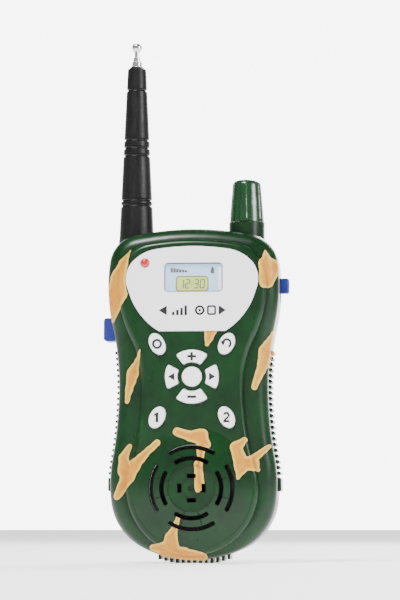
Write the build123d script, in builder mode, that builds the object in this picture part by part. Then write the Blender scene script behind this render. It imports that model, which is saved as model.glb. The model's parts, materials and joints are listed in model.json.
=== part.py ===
"""A toy walkie talkie: two-piece casing, telescopic aerial, volume knob, keypad, side switches and belt clip.

Millimetres. +X is to the right as the user sees the front, -Y is out of the front face and +Z is up.
The origin is on the ribbed foot that the radio stands on, in the plane where the two casing halves meet (y = 0).
"""

import math
import os

from build123d import *

os.makedirs("parts", exist_ok=True)

# ---- Casing ------------------------------------------------------------------------------------------------
BODY_HEIGHT = 136.5  # top of the casing, without the aerial and the knob
LOBE_HALF = 34.2  # half width across the speaker lobe
LOBE_Z = 32.0  # height of that widest line
LOBE_RADII = (60.0, 24.0, 46.0)  # side, corner and bottom arcs
WAIST_HALF = 30.6
WAIST_Z = 72.0
SHOULDER_HALF = 35.2
SHOULDER_DROP = 23.5  # widest line of the upper lobe, below the top
SHOULDER_RADII = (70.0, 13.0, 120.0)
WALL = 1.8
PARTING_GAP = 0.3  # open line between the two halves, closed by the lip behind it
LIP_THICKNESS = 0.8
LIP_HEIGHT = 1.6
LIP_GAP = 0.1
FRONT_DEPTH = 9.6  # front of the side rails, ahead of the parting plane
FRONT_ROUND = 6.0
REAR_DEPTH = 23.0
REAR_ROUND = 8.0
RIB_PROUD = 1.3  # grip ribs and foot teeth stand this far out of the casing
RIB_PITCH = 2.35
RIB_THICKNESS = 1.3
RIB_START = 0.25  # ribs start this far behind the parting plane
RIB_LENGTH = 13.4
SIDE_RIBS = 22
SIDE_RIB_Z = 36.6  # lowest rib
RIB_LUG_HEIGHT = 5.6
FOOT_TEETH = 13
TOOTH_WIDTH = 1.3
TOOTH_LENGTH = 2.0  # below the casing's underside, before the foot is levelled

# ---- Raised front face, speaker dome and grille ------------------------------------------------------------
FACE_RISE = 3.0  # the raised face stands this far out of the side rails
FACE_EDGE = 2.2
FACE_WAIST_HALF = 20.8
FACE_SHOULDER_HALF = 30.3
FACE_SHOULDER_RADII = (50.0, 15.0, 110.0)
FACE_TOP_DROP = 4.9  # top of the raised face, below the top of the casing
DOME_RADIUS = 27.0
DOME_Z = 30.3
CAP_RADIUS = 24.6
CAP_RISE = 3.6
SLOT_RADII = (12.1, 16.6)
SLOT_WIDTH = 1.8
SLOT_HALF_ANGLE = 34.0
SLOT_CORNER = 0.6
DISH_RADIUS = 9.7
DISH_DEPTH = 1.3
HUB_RADIUS = 3.5
HUB_HOLE_RADIUS = 1.3
HUB_SLOT_RADIUS = 4.9
HUB_SLOT = (1.7, 3.6)  # radial and tangential size
HUB_PROUD = 1.2  # the hub stands this far out of the dish
TICK_WIDTH = 0.5
TICK_ANGLE = 16.0
TICK_DEPTH = 0.45

# ---- Display panel -----------------------------------------------------------------------------------------
PANEL_HALF = 27.2
PANEL_TOP_DROP = 7.6  # below the top of the casing
PANEL_HEIGHT = 35.2
PANEL_FLAT_SHARE = 0.5  # straight part of the bottom edge
PANEL_ARCS = (  # middle and end of each edge arc, as shares of the half width and of the height
    ((0.809, 0.224), (0.963, 0.477)),
    ((1.0, 0.634), (0.904, 0.818)),
    ((0.779, 0.898), (0.57, 0.962)),
    ((0.287, 0.99), (0.0, 1.0)),
)
PANEL_THICKNESS = 0.8
PANEL_PROUD = 0.15
PANEL_GAP = 0.25
WINDOW = (24.0, 12.0)
WINDOW_X = 0.6
WINDOW_DROP = 20.6  # centre of the window, below the top of the casing
WINDOW_CORNER = 1.7
WINDOW_LEDGE = 0.8  # the clear window is larger than the cut-out in the panel
LENS_THICKNESS = 0.4
LCD = (13.4, 6.4)
LCD_DROP = 23.2
LCD_THICKNESS = 0.4
CARD_THICKNESS = 0.9
LED_X = -19.2
LED_DROP = 14.7
LED_RADIUS = 1.9
LED_FLANGE = 0.5
LED_PROUD = 0.9
LED_ROUND = 1.3
LED_LEG_SPREAD = 1.27  # each leg from the lamp's axis
LED_LEG = 0.5

# ---- Keys --------------------------------------------------------------------------------------------------
KEY_PROUD = 1.1
KEY_GAP = 0.3
KEY_TRAVEL = 1.0
KEY_FLANGE = 0.5
KEY_FLANGE_THICKNESS = 1.0
KEY_EDGE = 0.4
KEYPAD_Z = 75.4
OVAL_KEY = (3.05, 4.6)  # half axes
OVAL_X = 14.1
OVAL_TOP_RISE = 13.3  # upper ovals above the middle of the pad
OVAL_BOTTOM_DROP = 16.5
OVAL_TILT = 27.0
PAD_INNER = 5.9
PAD_OUTER = 10.9
PAD_UP_ANGLE = 36.0
PAD_SIDE_ANGLE = 27.0
CENTRE_KEY_RADIUS = 4.0
PAD_CORNER = 0.8

# ---- Board and keypad mat ----------------------------------------------------------------------------------
BOARD_HALF = 21.5
BOARD_THICKNESS = 1.6
BOARD_BOTTOM_Z = 54.0
BOARD_TOP_DROP = 12.0
MAT_THICKNESS = 1.0
MAT_HALF = 16.6
MAT_DOME_HEIGHT = 1.5
MAT_DOME_RADIUS = 2.1
BOARD_SCREW_X = 19.2
BOARD_SCREW_Z = (68.0, 100.0)
CHIPS = ((0.0, 29.5, 10.0, 7.0), (11.5, 41.5, 7.0, 5.0))  # x, height above the board's bottom edge, width, height
CHIP_THICKNESS = 1.8
CAPACITORS = ((-11.0, 20.0), (-11.0, 27.0), (11.0, 21.0))  # x and height above the board's bottom edge
CAPACITOR = (2.5, 6.0)  # radius and height
CAPACITOR_EDGE = 0.4
TUNING_COILS = ((-10.0, 56.0), (-1.0, 56.0))
TUNING_CAN = (7.0, 8.0)  # side and height
TUNING_CORE = (2.0, 0.6)  # radius and depth below the top of the can
CRYSTAL_PLACE = (0.0, 44.0)
CRYSTAL = (10.8, 4.4, 3.6)  # length, width and height
TRANSISTORS = ((-12.0, 38.0), (-12.0, 44.0), (10.0, 30.0))
TRANSISTOR = (2.3, 4.6)  # radius and height
TRANSISTOR_FLAT = 1.2  # the flat side from the axis

# ---- Fasteners ---------------------------------------------------------------------------------------------
SCREW_RADIUS = 1.25
PILOT_RADIUS = 1.3
SCREW_PASS_RADIUS = 1.6
HEAD_RADIUS = 2.5
HEAD_HEIGHT = 1.6
HEAD_BORE_RADIUS = 2.9
BOSS_RADIUS = 3.0
REAR_BOSS_RADIUS = 4.2
CASE_SCREW_SEAT = 8.0  # head seat, behind the parting plane
CASE_SCREW_LENGTH = 13.5
SMALL_SCREW_RADIUS = 0.95
SMALL_PILOT_RADIUS = 1.0
SMALL_HEAD_RADIUS = 1.9
SMALL_HEAD_HEIGHT = 1.2
SMALL_BOSS_RADIUS = 2.2
PILOT_TAIL = 1.0  # a pilot hole is deeper than its screw by this much
BOARD_SCREW_GRIP = 2.8  # length in the boss
CLAMP_SCREW_LENGTH = 2.6
CLIP_SCREW_LENGTH = 7.0
AERIAL_SCREW_GRIP = 4.0
CASE_SCREW_PLACES = ((82.0, 6.0), (34.0, 8.2))  # height, and distance in from the side, of each pair
TOP_SCREW_DROP = 6.6
CROSS_WIDTH = 0.6
CROSS_DEPTH = 0.6
FIT_GAP = 0.05  # between a fixed piece and the hole or pocket that holds it

# ---- Speaker -----------------------------------------------------------------------------------------------
SPEAKER_RADIUS = 20.0
SPEAKER_FLANGE = 0.8
SPEAKER_FLANGE_WIDTH = 2.6
SPEAKER_DEPTH = 6.0
SPEAKER_BACK_RADIUS = 11.5
SPEAKER_VENT_RADIUS = 4.0
SPEAKER_SEAT = 0.6  # the seat ring is wider than the speaker by this much
MAGNET_RADIUS = 10.0
MAGNET_THICKNESS = 4.0
GASKET_THICKNESS = 0.8
GASKET_WIDTH = 2.4
CONE_THICKNESS = 0.5
CONE_CAP_RADIUS = 4.5
CONE_DEPTH = 3.4
CONE_CAP_DEPTH = 2.2
CONE_ROLL = 1.4
CLAMP_RADIUS = 2.5
CLAMP_THICKNESS = 0.7
CLAMP_CIRCLE = 21.9
CLAMP_ANGLE = 30.0
CLAMPS = 3

# ---- Battery -----------------------------------------------------------------------------------------------
BATTERY = (26.5, 17.5, 46.4)  # width, thickness, height of the can
BATTERY_Z = 15.0
BATTERY_GAP = 0.4
BATTERY_CORNER = 2.0
BATTERY_PAD_INSET = 8.0
TERMINAL_HEIGHT = 2.2
TERMINAL_RADII = (3.0, 4.0)
TERMINAL_X = 6.35
SNAP = (25.0, 12.5, 3.2)
BAY_WALL = 1.2
BAY_HEADROOM = 2.0
LEAD_OPENING = (10.0, 6.0)  # width and height, at the top of the bay
DOOR_THICKNESS = 1.6
DOOR_LEDGE = 1.9  # the door overlaps the bay by this much
DOOR_TOP_LEDGE = 3.2
DOOR_GAP = 0.3
DOOR_PIN_RADIUS = 0.55
DOOR_PIN_LENGTH = 1.2
DOOR_NOTCHES = 5
DOOR_NOTCH = (8.0, 0.4, 0.9)  # half width, depth and height of the longest finger notch
DOOR_NOTCH_PITCH = 1.8
DOOR_NOTCH_DROP = 4.0
DOOR_NOTCH_TAPER = 0.8

# ---- Aerial ------------------------------------------------------------------------------------------------
AERIAL_X = -24.7
TOP_GEAR_Y = 8.0  # aerial and knob axes, behind the parting plane
AERIAL_FOOT = (8.4, 8.4, 7.0)
AERIAL_FOOT_DROP = 34.3  # below the top of the casing
AERIAL_FOOT_CORNER = 1.0
AERIAL_SEAT = 3.6  # the tube stands this far above the bottom of the foot
SLEEVE_SINK = 3.1  # the sleeve starts this far below the top of the casing
SLEEVE_LENGTH = 72.4
SLEEVE_BASE_RADIUS = 7.2
SLEEVE_TOP_RADIUS = 3.8
SLEEVE_GROOVE_SHARES = (0.196, 0.226, 0.485, 0.53, 0.575, 0.865)  # places of the ring grooves, up the sleeve
SLEEVE_GROOVE = (0.06, 0.6)  # centre of the round groove out from the cone, and its radius
SLEEVE_EDGE = 1.0
TUBE_RADII = (2.6, 2.05, 1.5, 0.95)  # outer radii, fixed tube first, rod last
TUBE_RUN_GAP = 0.1
TUBE_STEP = 1.9  # each tube's top stands this far above the one outside it
TUBE_PROUD = 0.4  # the fixed tube's top above the sleeve
TUBE_EDGE = 0.2
TIP_RADIUS = 2.1
TIP_HEIGHT = 3.4
TIP_NECK = 0.6
TIP_NECK_RADIUS = 1.3
TIP_FLARE = 1.2  # height of the flared underside of the tip
COLLAR_RADIUS = 7.4

# ---- Volume knob -------------------------------------------------------------------------------------------
KNOB_X = 21.2
KNOB_LIFT = 3.9  # underside of the knob, above the top of the casing
KNOB_HEIGHT = 17.4
KNOB_BASE_RADIUS = 7.1
KNOB_TOP_RADIUS = 5.7
KNOB_FLUTES = 9
FLUTE_RADIUS = 2.5
FLUTE_OUT = 2.1  # flute axes, out from the base of the knob
FLUTE_LIFT = 1.2
KNOB_FLOAT = 0.35  # open line under the knob
SHAFT_RADIUS = 3.0
SHAFT_GAP = 0.08
SHAFT_IN_KNOB = 11.0
BUSHING_RADIUS = 3.7
POT = (11.0, 8.0, 9.0)
POT_DROP = 19.0

# ---- Side switches -----------------------------------------------------------------------------------------
TALK_Z = 95.8
TALK_SIZE = (9.0, 9.6)  # depth and height of the button
TALK_PROUD = 4.8
SWITCH_Y = 6.8  # middle of both side switches, behind the parting plane
TALK_TRAVEL = 2.0
TALK_FLANGE = 1.0
TALK_FLANGE_THICKNESS = 1.2
TALK_STEM_RADIUS = 1.3
TALK_STEM_LENGTH = 3.4
TALK_SWITCH = 6.0
POWER_Z = 113.6
POWER_SIZE = (4.6, 6.1)
POWER_PROUD = 3.6
POWER_TRAVEL = 3.5
POWER_FLANGE = 1.0
POWER_SWITCH_DEPTH = 5.6
TALK_EDGE = 1.5
POWER_EDGE = 0.9
SWITCH_GAP = 0.3

# ---- Belt clip ---------------------------------------------------------------------------------------------
CLIP_WIDTH = 18.0
CLIP_THICKNESS = 2.4
CLIP_CORNER = 3.0
CLIP_TOP_Z = 121.5
CLIP_BOTTOM_Z = 82.0
CLIP_GAP = 5.4  # belt room between the clip and the back
CLIP_PIVOT_Z = 115.0
CLIP_PIVOT_OUT = 4.0  # pivot axis, out from the back face
CLIP_PIN_RADIUS = 1.0
CLIP_PIN_GAP = 0.05
CLIP_EYE_RADIUS = 2.3
CLIP_TIP_GAP = 0.8
BRACKET_THICKNESS = 1.4
BRACKET_HEIGHT = 15.0
BRACKET_EAR = 1.8
BRACKET_CORNER = 2.0
CLIP_SCREW_Z = 5.0  # above and below the pivot
SPRING_WIRE = 0.35
SPRING_TURNS = 4

# ---- Worked out from the values above ----------------------------------------------------------------------
SHOULDER_Z = BODY_HEIGHT - SHOULDER_DROP
FACE_Y = -FRONT_DEPTH - FACE_RISE  # front of the raised face
INNER_Y = FACE_Y + WALL  # inside of the raised face
PANEL_TOP_Z = BODY_HEIGHT - PANEL_TOP_DROP
PANEL_BOTTOM_Z = PANEL_TOP_Z - PANEL_HEIGHT
PANEL_BACK_Y = FACE_Y - PANEL_PROUD + PANEL_THICKNESS
WINDOW_Z = BODY_HEIGHT - WINDOW_DROP
LCD_Z = BODY_HEIGHT - LCD_DROP
LED_Z = BODY_HEIGHT - LED_DROP
KEY_BACK_Y = INNER_Y + FIT_GAP + KEY_FLANGE_THICKNESS
MAT_FRONT_Y = KEY_BACK_Y + KEY_TRAVEL + FIT_GAP + MAT_DOME_HEIGHT
BOARD_FRONT_Y = MAT_FRONT_Y + MAT_THICKNESS
BOARD_BACK_Y = BOARD_FRONT_Y + BOARD_THICKNESS
BOARD_TOP_Z = BODY_HEIGHT - BOARD_TOP_DROP
BAY_BACK_Y = REAR_DEPTH - DOOR_THICKNESS  # inside of the battery door
BAY_FRONT_Y = BAY_BACK_Y - DOOR_GAP - BATTERY[1] - BATTERY_GAP
BAY_HALF = BATTERY[0] / 2 + BATTERY_GAP
BAY_BOTTOM_Z = BATTERY_Z - BATTERY_GAP
BAY_TOP_Z = BATTERY_Z + BATTERY[2] + TERMINAL_HEIGHT + SNAP[2] + BAY_HEADROOM
BATTERY_Y = BAY_FRONT_Y + BATTERY_GAP / 2 + BATTERY[1] / 2
DOOR_BOTTOM_Z = BAY_BOTTOM_Z - DOOR_LEDGE
DOOR_TOP_Z = BAY_TOP_Z + DOOR_TOP_LEDGE
DOOR_HALF = BAY_HALF + DOOR_LEDGE
DOOR_HINGE = (REAR_DEPTH - DOOR_THICKNESS / 2, DOOR_BOTTOM_Z + DOOR_THICKNESS / 2)  # y and z of its pivot line
SPEAKER_FRONT_Y = INNER_Y + GASKET_THICKNESS
SPEAKER_BACK_Y = SPEAKER_FRONT_Y + SPEAKER_DEPTH
CLAMP_Y = SPEAKER_FRONT_Y + SPEAKER_FLANGE
AERIAL_FOOT_Z = BODY_HEIGHT - AERIAL_FOOT_DROP
SLEEVE_Z = BODY_HEIGHT - SLEEVE_SINK
KNOB_Z = BODY_HEIGHT + KNOB_LIFT
POT_Z = BODY_HEIGHT - POT_DROP
SLEEVE_TOP_Z = SLEEVE_Z + SLEEVE_LENGTH
AERIAL_SCREW_Z = AERIAL_FOOT_Z + AERIAL_SEAT / 2
CLIP_Y = REAR_DEPTH + CLIP_GAP
CLIP_PIVOT_Y = REAR_DEPTH + CLIP_PIVOT_OUT
SIDE_POST_Y = SWITCH_Y + TALK_SWITCH / 2  # the posts that hold the side switches end here


def facing(y):
    """A sketch plane facing the front at a depth, with x to the right and z up."""
    return Plane.XZ.offset(-y)


def bar(radius, x, z, y_from, y_to, mode=Mode.ADD):
    """Adds a round bar along Y to the part being built."""
    with Locations((x, (y_from + y_to) / 2, z)):
        Cylinder(radius, abs(y_to - y_from), rotation=(90, 0, 0), mode=mode)


def post(radius, x, y, z_from, z_to, mode=Mode.ADD):
    """Adds an upright round bar to the part being built."""
    with Locations((x, y, (z_from + z_to) / 2)):
        Cylinder(radius, z_to - z_from, mode=mode)


def slab(x_range, y_range, z_range, mode=Mode.ADD):
    """Adds a box between two limits on each axis to the part being built."""
    ranges = (x_range, y_range, z_range)
    with Locations(tuple(sum(limits) / 2 for limits in ranges)):
        Box(*(limits[1] - limits[0] for limits in ranges), mode=mode)


def corner_centre(side, side_radius, end, end_radius, corner_radius):
    """Centre of the arc that lies inside two larger arcs and touches both."""
    reach_a = side_radius - corner_radius
    reach_b = end_radius - corner_radius
    run, rise = end[0] - side[0], end[1] - side[1]
    apart = math.hypot(run, rise)
    along = (reach_a**2 - reach_b**2 + apart**2) / (2 * apart)
    across = math.sqrt(reach_a**2 - along**2)
    middle = (side[0] + along * run / apart, side[1] + along * rise / apart)
    return middle[0] - across * rise / apart, middle[1] + across * run / apart


def lobe_arcs(way, half, lobe_z, reach, radii, waist_half, waist_z):
    """Draws the right half of one lobe, from its end on the centre line to the waist; way is 1 up, -1 down."""
    side_radius, corner_radius, end_radius = radii
    side = (half - side_radius, 0.0)
    end = (0.0, reach - end_radius)
    narrowing = half - waist_half
    run = abs(waist_z - lobe_z)
    waist_radius = (narrowing**2 + run**2) / (2 * narrowing) - side_radius
    waist = (waist_half + waist_radius, -run)
    meet = math.degrees(math.atan2(run, waist[0] - side[0]))
    arcs = [(waist, waist_radius, 180 - meet, 180)]
    if corner_radius == side_radius:
        arcs.append((side, side_radius, 90, -meet))
    else:
        corner = corner_centre(side, side_radius, end, end_radius, corner_radius)
        side_angle = math.degrees(math.atan2(corner[1] - side[1], corner[0] - side[0]))
        end_angle = math.degrees(math.atan2(corner[1] - end[1], corner[0] - end[0]))
        arcs.append((side, side_radius, side_angle, -meet))
        arcs.append((corner, corner_radius, end_angle, side_angle))
        arcs.append((end, end_radius, 90, end_angle))
    for centre, radius, start, stop in arcs:
        CenterArc((centre[0], lobe_z + way * centre[1]), radius, way * start, way * (stop - start))


def casing_section(plane, inset=0.0):
    """The casing outline on a plane, moved in by an inset."""
    lobe_radii = [radius - inset for radius in LOBE_RADII]
    shoulder_radii = [radius - inset for radius in SHOULDER_RADII]
    with BuildSketch(plane) as section:
        with BuildLine():
            lobe_arcs(-1, LOBE_HALF - inset, LOBE_Z, LOBE_Z - RIB_PROUD - inset, lobe_radii,
                      WAIST_HALF - inset, WAIST_Z)
            lobe_arcs(1, SHOULDER_HALF - inset, SHOULDER_Z, SHOULDER_DROP - inset, shoulder_radii,
                      WAIST_HALF - inset, WAIST_Z)
            mirror(about=Plane.YZ)
        make_face()
    return section.sketch


def face_section(plane, inset=0.0):
    """The outline of the raised front face on a plane, moved in by an inset."""
    shoulder_radii = [radius - inset for radius in FACE_SHOULDER_RADII]
    dome = DOME_RADIUS - inset
    with BuildSketch(plane) as section:
        with BuildLine():
            lobe_arcs(-1, dome, DOME_Z, dome, (dome, dome, dome), FACE_WAIST_HALF - inset, WAIST_Z)
            lobe_arcs(1, FACE_SHOULDER_HALF - inset, SHOULDER_Z, SHOULDER_DROP - FACE_TOP_DROP - inset,
                      shoulder_radii, FACE_WAIST_HALF - inset, WAIST_Z)
            mirror(about=Plane.YZ)
        make_face()
    return section.sketch


def cap_surface(distance):
    """The y of the speaker dome's outside, at a distance from its middle."""
    ball = (CAP_RADIUS**2 + CAP_RISE**2) / (2 * CAP_RISE)
    return FACE_Y - CAP_RISE + ball - math.sqrt(ball**2 - distance**2)


def speaker_cap(base_y, radius, rise):
    """The shallow dome in front of the speaker, standing on a plane."""
    ball = (radius**2 + rise**2) / (2 * rise)
    with BuildPart() as cap:
        with BuildSketch(Plane.XY.offset(DOME_Z)):
            with BuildLine():
                ThreePointArc((radius, base_y), (ball * math.sin(math.asin(radius / ball) / 2),
                              base_y - rise + ball - ball * math.cos(math.asin(radius / ball) / 2)),
                              (0, base_y - rise))
                Line((0, base_y - rise), (0, base_y + 1))
                Line((0, base_y + 1), (radius, base_y + 1))
                Line((radius, base_y + 1), (radius, base_y))
            make_face()
        revolve(axis=Axis((0, 0, DOME_Z), (0, 1, 0)))
    return cap.part


def ring_sector(plane, middle_z, inner, outer, turn, half_angle, corner):
    """A piece of a ring with rounded corners, on a plane, centred on the centre line at a height."""
    spread = math.radians(half_angle)
    wedge = (2 * outer * math.cos(spread), 2 * outer * math.sin(spread))
    with BuildSketch(plane) as section:
        with Locations((0, middle_z)):
            Circle(outer)
            Circle(inner, mode=Mode.SUBTRACT)
        with Locations(Location((0, middle_z), turn)):
            Polygon((0, 0), (wedge[0], -wedge[1]), wedge, align=None, mode=Mode.INTERSECT)
        fillet(section.vertices(), corner)
    return section.sketch


def panel_section(plane, inset=0.0):
    """The shield shape of the display panel on a plane, moved in by an inset."""
    with BuildSketch(plane) as section:
        with BuildLine():
            start = (PANEL_HALF * PANEL_FLAT_SHARE, PANEL_BOTTOM_Z)
            Line((0, PANEL_BOTTOM_Z), start)
            for arc in PANEL_ARCS:
                middle, end = [(PANEL_HALF * x, PANEL_BOTTOM_Z + PANEL_HEIGHT * z) for x, z in arc]
                ThreePointArc(start, middle, end)
                start = end
            mirror(about=Plane.YZ)
        make_face()
        if inset:
            offset(amount=-inset, mode=Mode.REPLACE)
    return section.sketch


def screw(radius, length, head_radius, head_height):
    """A pan-head cross screw along Y, its head seat at the origin and its head towards +Y."""
    with BuildPart() as fastener:
        bar(radius, 0, 0, -length, 0)
        chamfer(fastener.edges().sort_by(Axis.Y)[0], radius * 0.4)
        bar(head_radius, 0, 0, 0, head_height)
        fillet(fastener.edges().sort_by(Axis.Y)[-1], head_height * 0.5)
        for turn in (0, 90):
            with Locations((0, head_height - CROSS_DEPTH / 2, 0)):
                Box(head_radius * 1.1, CROSS_DEPTH, CROSS_WIDTH, rotation=(0, turn, 0), mode=Mode.SUBTRACT)
    return fastener.part


def finish(part, name):
    """Labels a finished piece and writes it."""
    part.label = name
    export_step(part, f"parts/{name}.step")


def casing_half(z):
    """Half width of the casing at a height on its sides."""
    half, lobe_z, side_radius = LOBE_HALF, LOBE_Z, LOBE_RADII[0]
    if z > WAIST_Z:
        half, lobe_z, side_radius = SHOULDER_HALF, SHOULDER_Z, SHOULDER_RADII[0]
    narrowing = half - WAIST_HALF
    run = abs(WAIST_Z - lobe_z)
    between = (narrowing**2 + run**2) / (2 * narrowing)
    waist_radius = between - side_radius
    off = abs(z - lobe_z)
    if off < run * side_radius / between:
        return half - side_radius + math.sqrt(side_radius**2 - off**2)
    return WAIST_HALF + waist_radius - math.sqrt(waist_radius**2 - (run - off)**2)


def casing_bottom(x):
    """Height of the casing's underside at a distance from the centre line."""
    return RIB_PROUD + LOBE_RADII[2] - math.sqrt(LOBE_RADII[2]**2 - x**2)


def oval_section(plane, x, z, tilt, grow):
    """A tilted oval key on a plane."""
    with BuildSketch(plane) as section:
        with Locations(Location((x, z), tilt)):
            Ellipse(OVAL_KEY[0] + grow, OVAL_KEY[1] + grow)
    return section.sketch


def pad_section(plane, turn, half_angle, grow):
    """A curved key of the four-way pad on a plane."""
    half_angle += math.degrees(2 * grow / (PAD_INNER + PAD_OUTER))
    return ring_sector(plane, KEYPAD_Z, PAD_INNER - grow, PAD_OUTER + grow, turn, half_angle, PAD_CORNER)


def round_section(plane, grow):
    """The round key in the middle of the pad on a plane."""
    with BuildSketch(plane) as section:
        with Locations((0, KEYPAD_Z)):
            Circle(CENTRE_KEY_RADIUS + grow)
    return section.sketch


KEYS = {
    "clear_key": lambda plane, grow: oval_section(plane, -OVAL_X, KEYPAD_Z + OVAL_TOP_RISE, OVAL_TILT, grow),
    "return_key": lambda plane, grow: oval_section(plane, OVAL_X, KEYPAD_Z + OVAL_TOP_RISE, -OVAL_TILT, grow),
    "one_key": lambda plane, grow: oval_section(plane, -OVAL_X, KEYPAD_Z - OVAL_BOTTOM_DROP, -OVAL_TILT, grow),
    "two_key": lambda plane, grow: oval_section(plane, OVAL_X, KEYPAD_Z - OVAL_BOTTOM_DROP, OVAL_TILT, grow),
    "up_key": lambda plane, grow: pad_section(plane, 90, PAD_UP_ANGLE, grow),
    "down_key": lambda plane, grow: pad_section(plane, 270, PAD_UP_ANGLE, grow),
    "right_key": lambda plane, grow: pad_section(plane, 0, PAD_SIDE_ANGLE, grow),
    "left_key": lambda plane, grow: pad_section(plane, 180, PAD_SIDE_ANGLE, grow),
    "centre_key": round_section,
}
CLAMP_TURNS = [math.radians(CLAMP_ANGLE + 360 / CLAMPS * i) for i in range(CLAMPS)]
CLAMP_POINTS = [(CLAMP_CIRCLE * math.cos(turn), DOME_Z + CLAMP_CIRCLE * math.sin(turn)) for turn in CLAMP_TURNS]
CASE_SCREWS = [(way * (casing_half(z) - inset), z) for z, inset in CASE_SCREW_PLACES for way in (-1, 1)]
CASE_SCREWS.append((0.0, BODY_HEIGHT - TOP_SCREW_DROP))
BOARD_SCREWS = [(way * BOARD_SCREW_X, z) for way in (-1, 1) for z in BOARD_SCREW_Z]
CLIP_SCREWS = [(0.0, CLIP_PIVOT_Z - CLIP_SCREW_Z), (0.0, CLIP_PIVOT_Z + CLIP_SCREW_Z)]
TALK_FLANGE_X = casing_half(TALK_Z - TALK_SIZE[1] / 2 - TALK_FLANGE) - WALL - SWITCH_GAP
TALK_SWITCH_X = TALK_FLANGE_X - TALK_FLANGE_THICKNESS - TALK_STEM_LENGTH - TALK_TRAVEL - SWITCH_GAP
TALK_SWITCH_Z = (TALK_Z - TALK_SWITCH / 2, TALK_Z + TALK_SWITCH / 2)
POWER_SLOT_Z = (POWER_Z - POWER_SIZE[1] / 2 - POWER_TRAVEL - SWITCH_GAP, POWER_Z + POWER_SIZE[1] / 2 + SWITCH_GAP)
POWER_FLANGE_Z = (POWER_SLOT_Z[0] - POWER_FLANGE, POWER_SLOT_Z[1] + POWER_FLANGE + POWER_TRAVEL)
POWER_FLANGE_X = casing_half(POWER_FLANGE_Z[0] - POWER_TRAVEL) - WALL - SWITCH_GAP
POWER_SWITCH_X = (POWER_FLANGE_X - POWER_FLANGE - SWITCH_GAP - POWER_SWITCH_DEPTH,
                  POWER_FLANGE_X - POWER_FLANGE - SWITCH_GAP)


# ---- Casing forms ------------------------------------------------------------------------------------------
with BuildPart() as front_form:
    extrude(casing_section(facing(-PARTING_GAP / 2)), amount=FRONT_DEPTH - PARTING_GAP / 2)
    fillet(front_form.faces().sort_by(Axis.Y)[0].edges(), FRONT_ROUND)
    extrude(face_section(facing(-FRONT_DEPTH + FRONT_ROUND)), amount=FACE_RISE + FRONT_ROUND)
    fillet(front_form.faces().sort_by(Axis.Y)[0].edges(), FACE_EDGE)
    add(speaker_cap(FACE_Y, CAP_RADIUS, CAP_RISE))

with BuildPart() as front_cavity:
    extrude(casing_section(facing(1), WALL), amount=FRONT_DEPTH - WALL + 1)
    fillet(front_cavity.faces().sort_by(Axis.Y)[0].edges(), FRONT_ROUND - WALL)
    extrude(face_section(facing(0), WALL), amount=-INNER_Y)
    fillet(front_cavity.faces().sort_by(Axis.Y)[0].edges(), FACE_EDGE - WALL)
    add(speaker_cap(INNER_Y, CAP_RADIUS - WALL / 2, CAP_RISE - WALL / 2))

with BuildPart() as rear_form:
    extrude(casing_section(facing(PARTING_GAP / 2)), amount=PARTING_GAP / 2 - REAR_DEPTH)
    fillet(rear_form.faces().sort_by(Axis.Y)[-1].edges(), REAR_ROUND)

with BuildPart() as rear_cavity:
    extrude(casing_section(facing(-1), WALL), amount=WALL - REAR_DEPTH - 1)
    fillet(rear_cavity.faces().sort_by(Axis.Y)[-1].edges(), REAR_ROUND - WALL)

# ---- Front shell -------------------------------------------------------------------------------------------
CAP_Y = FACE_Y - CAP_RISE
DISH_Y = CAP_Y + DISH_DEPTH

with BuildPart() as front_posts:
    for x, z in CASE_SCREWS:
        bar(BOSS_RADIUS, x, z, -PARTING_GAP / 2, FACE_Y)
    for x, z in BOARD_SCREWS:
        bar(SMALL_BOSS_RADIUS, x, z, BOARD_FRONT_Y, FACE_Y)
    bar(SPEAKER_RADIUS + SPEAKER_SEAT, 0, DOME_Z, INNER_Y, FACE_Y)
    bar(SPEAKER_RADIUS - GASKET_WIDTH, 0, DOME_Z, 0, FACE_Y - WALL, mode=Mode.SUBTRACT)
    for x, z in CLAMP_POINTS:
        bar(SMALL_BOSS_RADIUS, x, z, CLAMP_Y, FACE_Y)
    bar(SPEAKER_RADIUS + FIT_GAP, 0, DOME_Z, 0, INNER_Y, mode=Mode.SUBTRACT)
    add(front_form.part, mode=Mode.INTERSECT)

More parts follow.
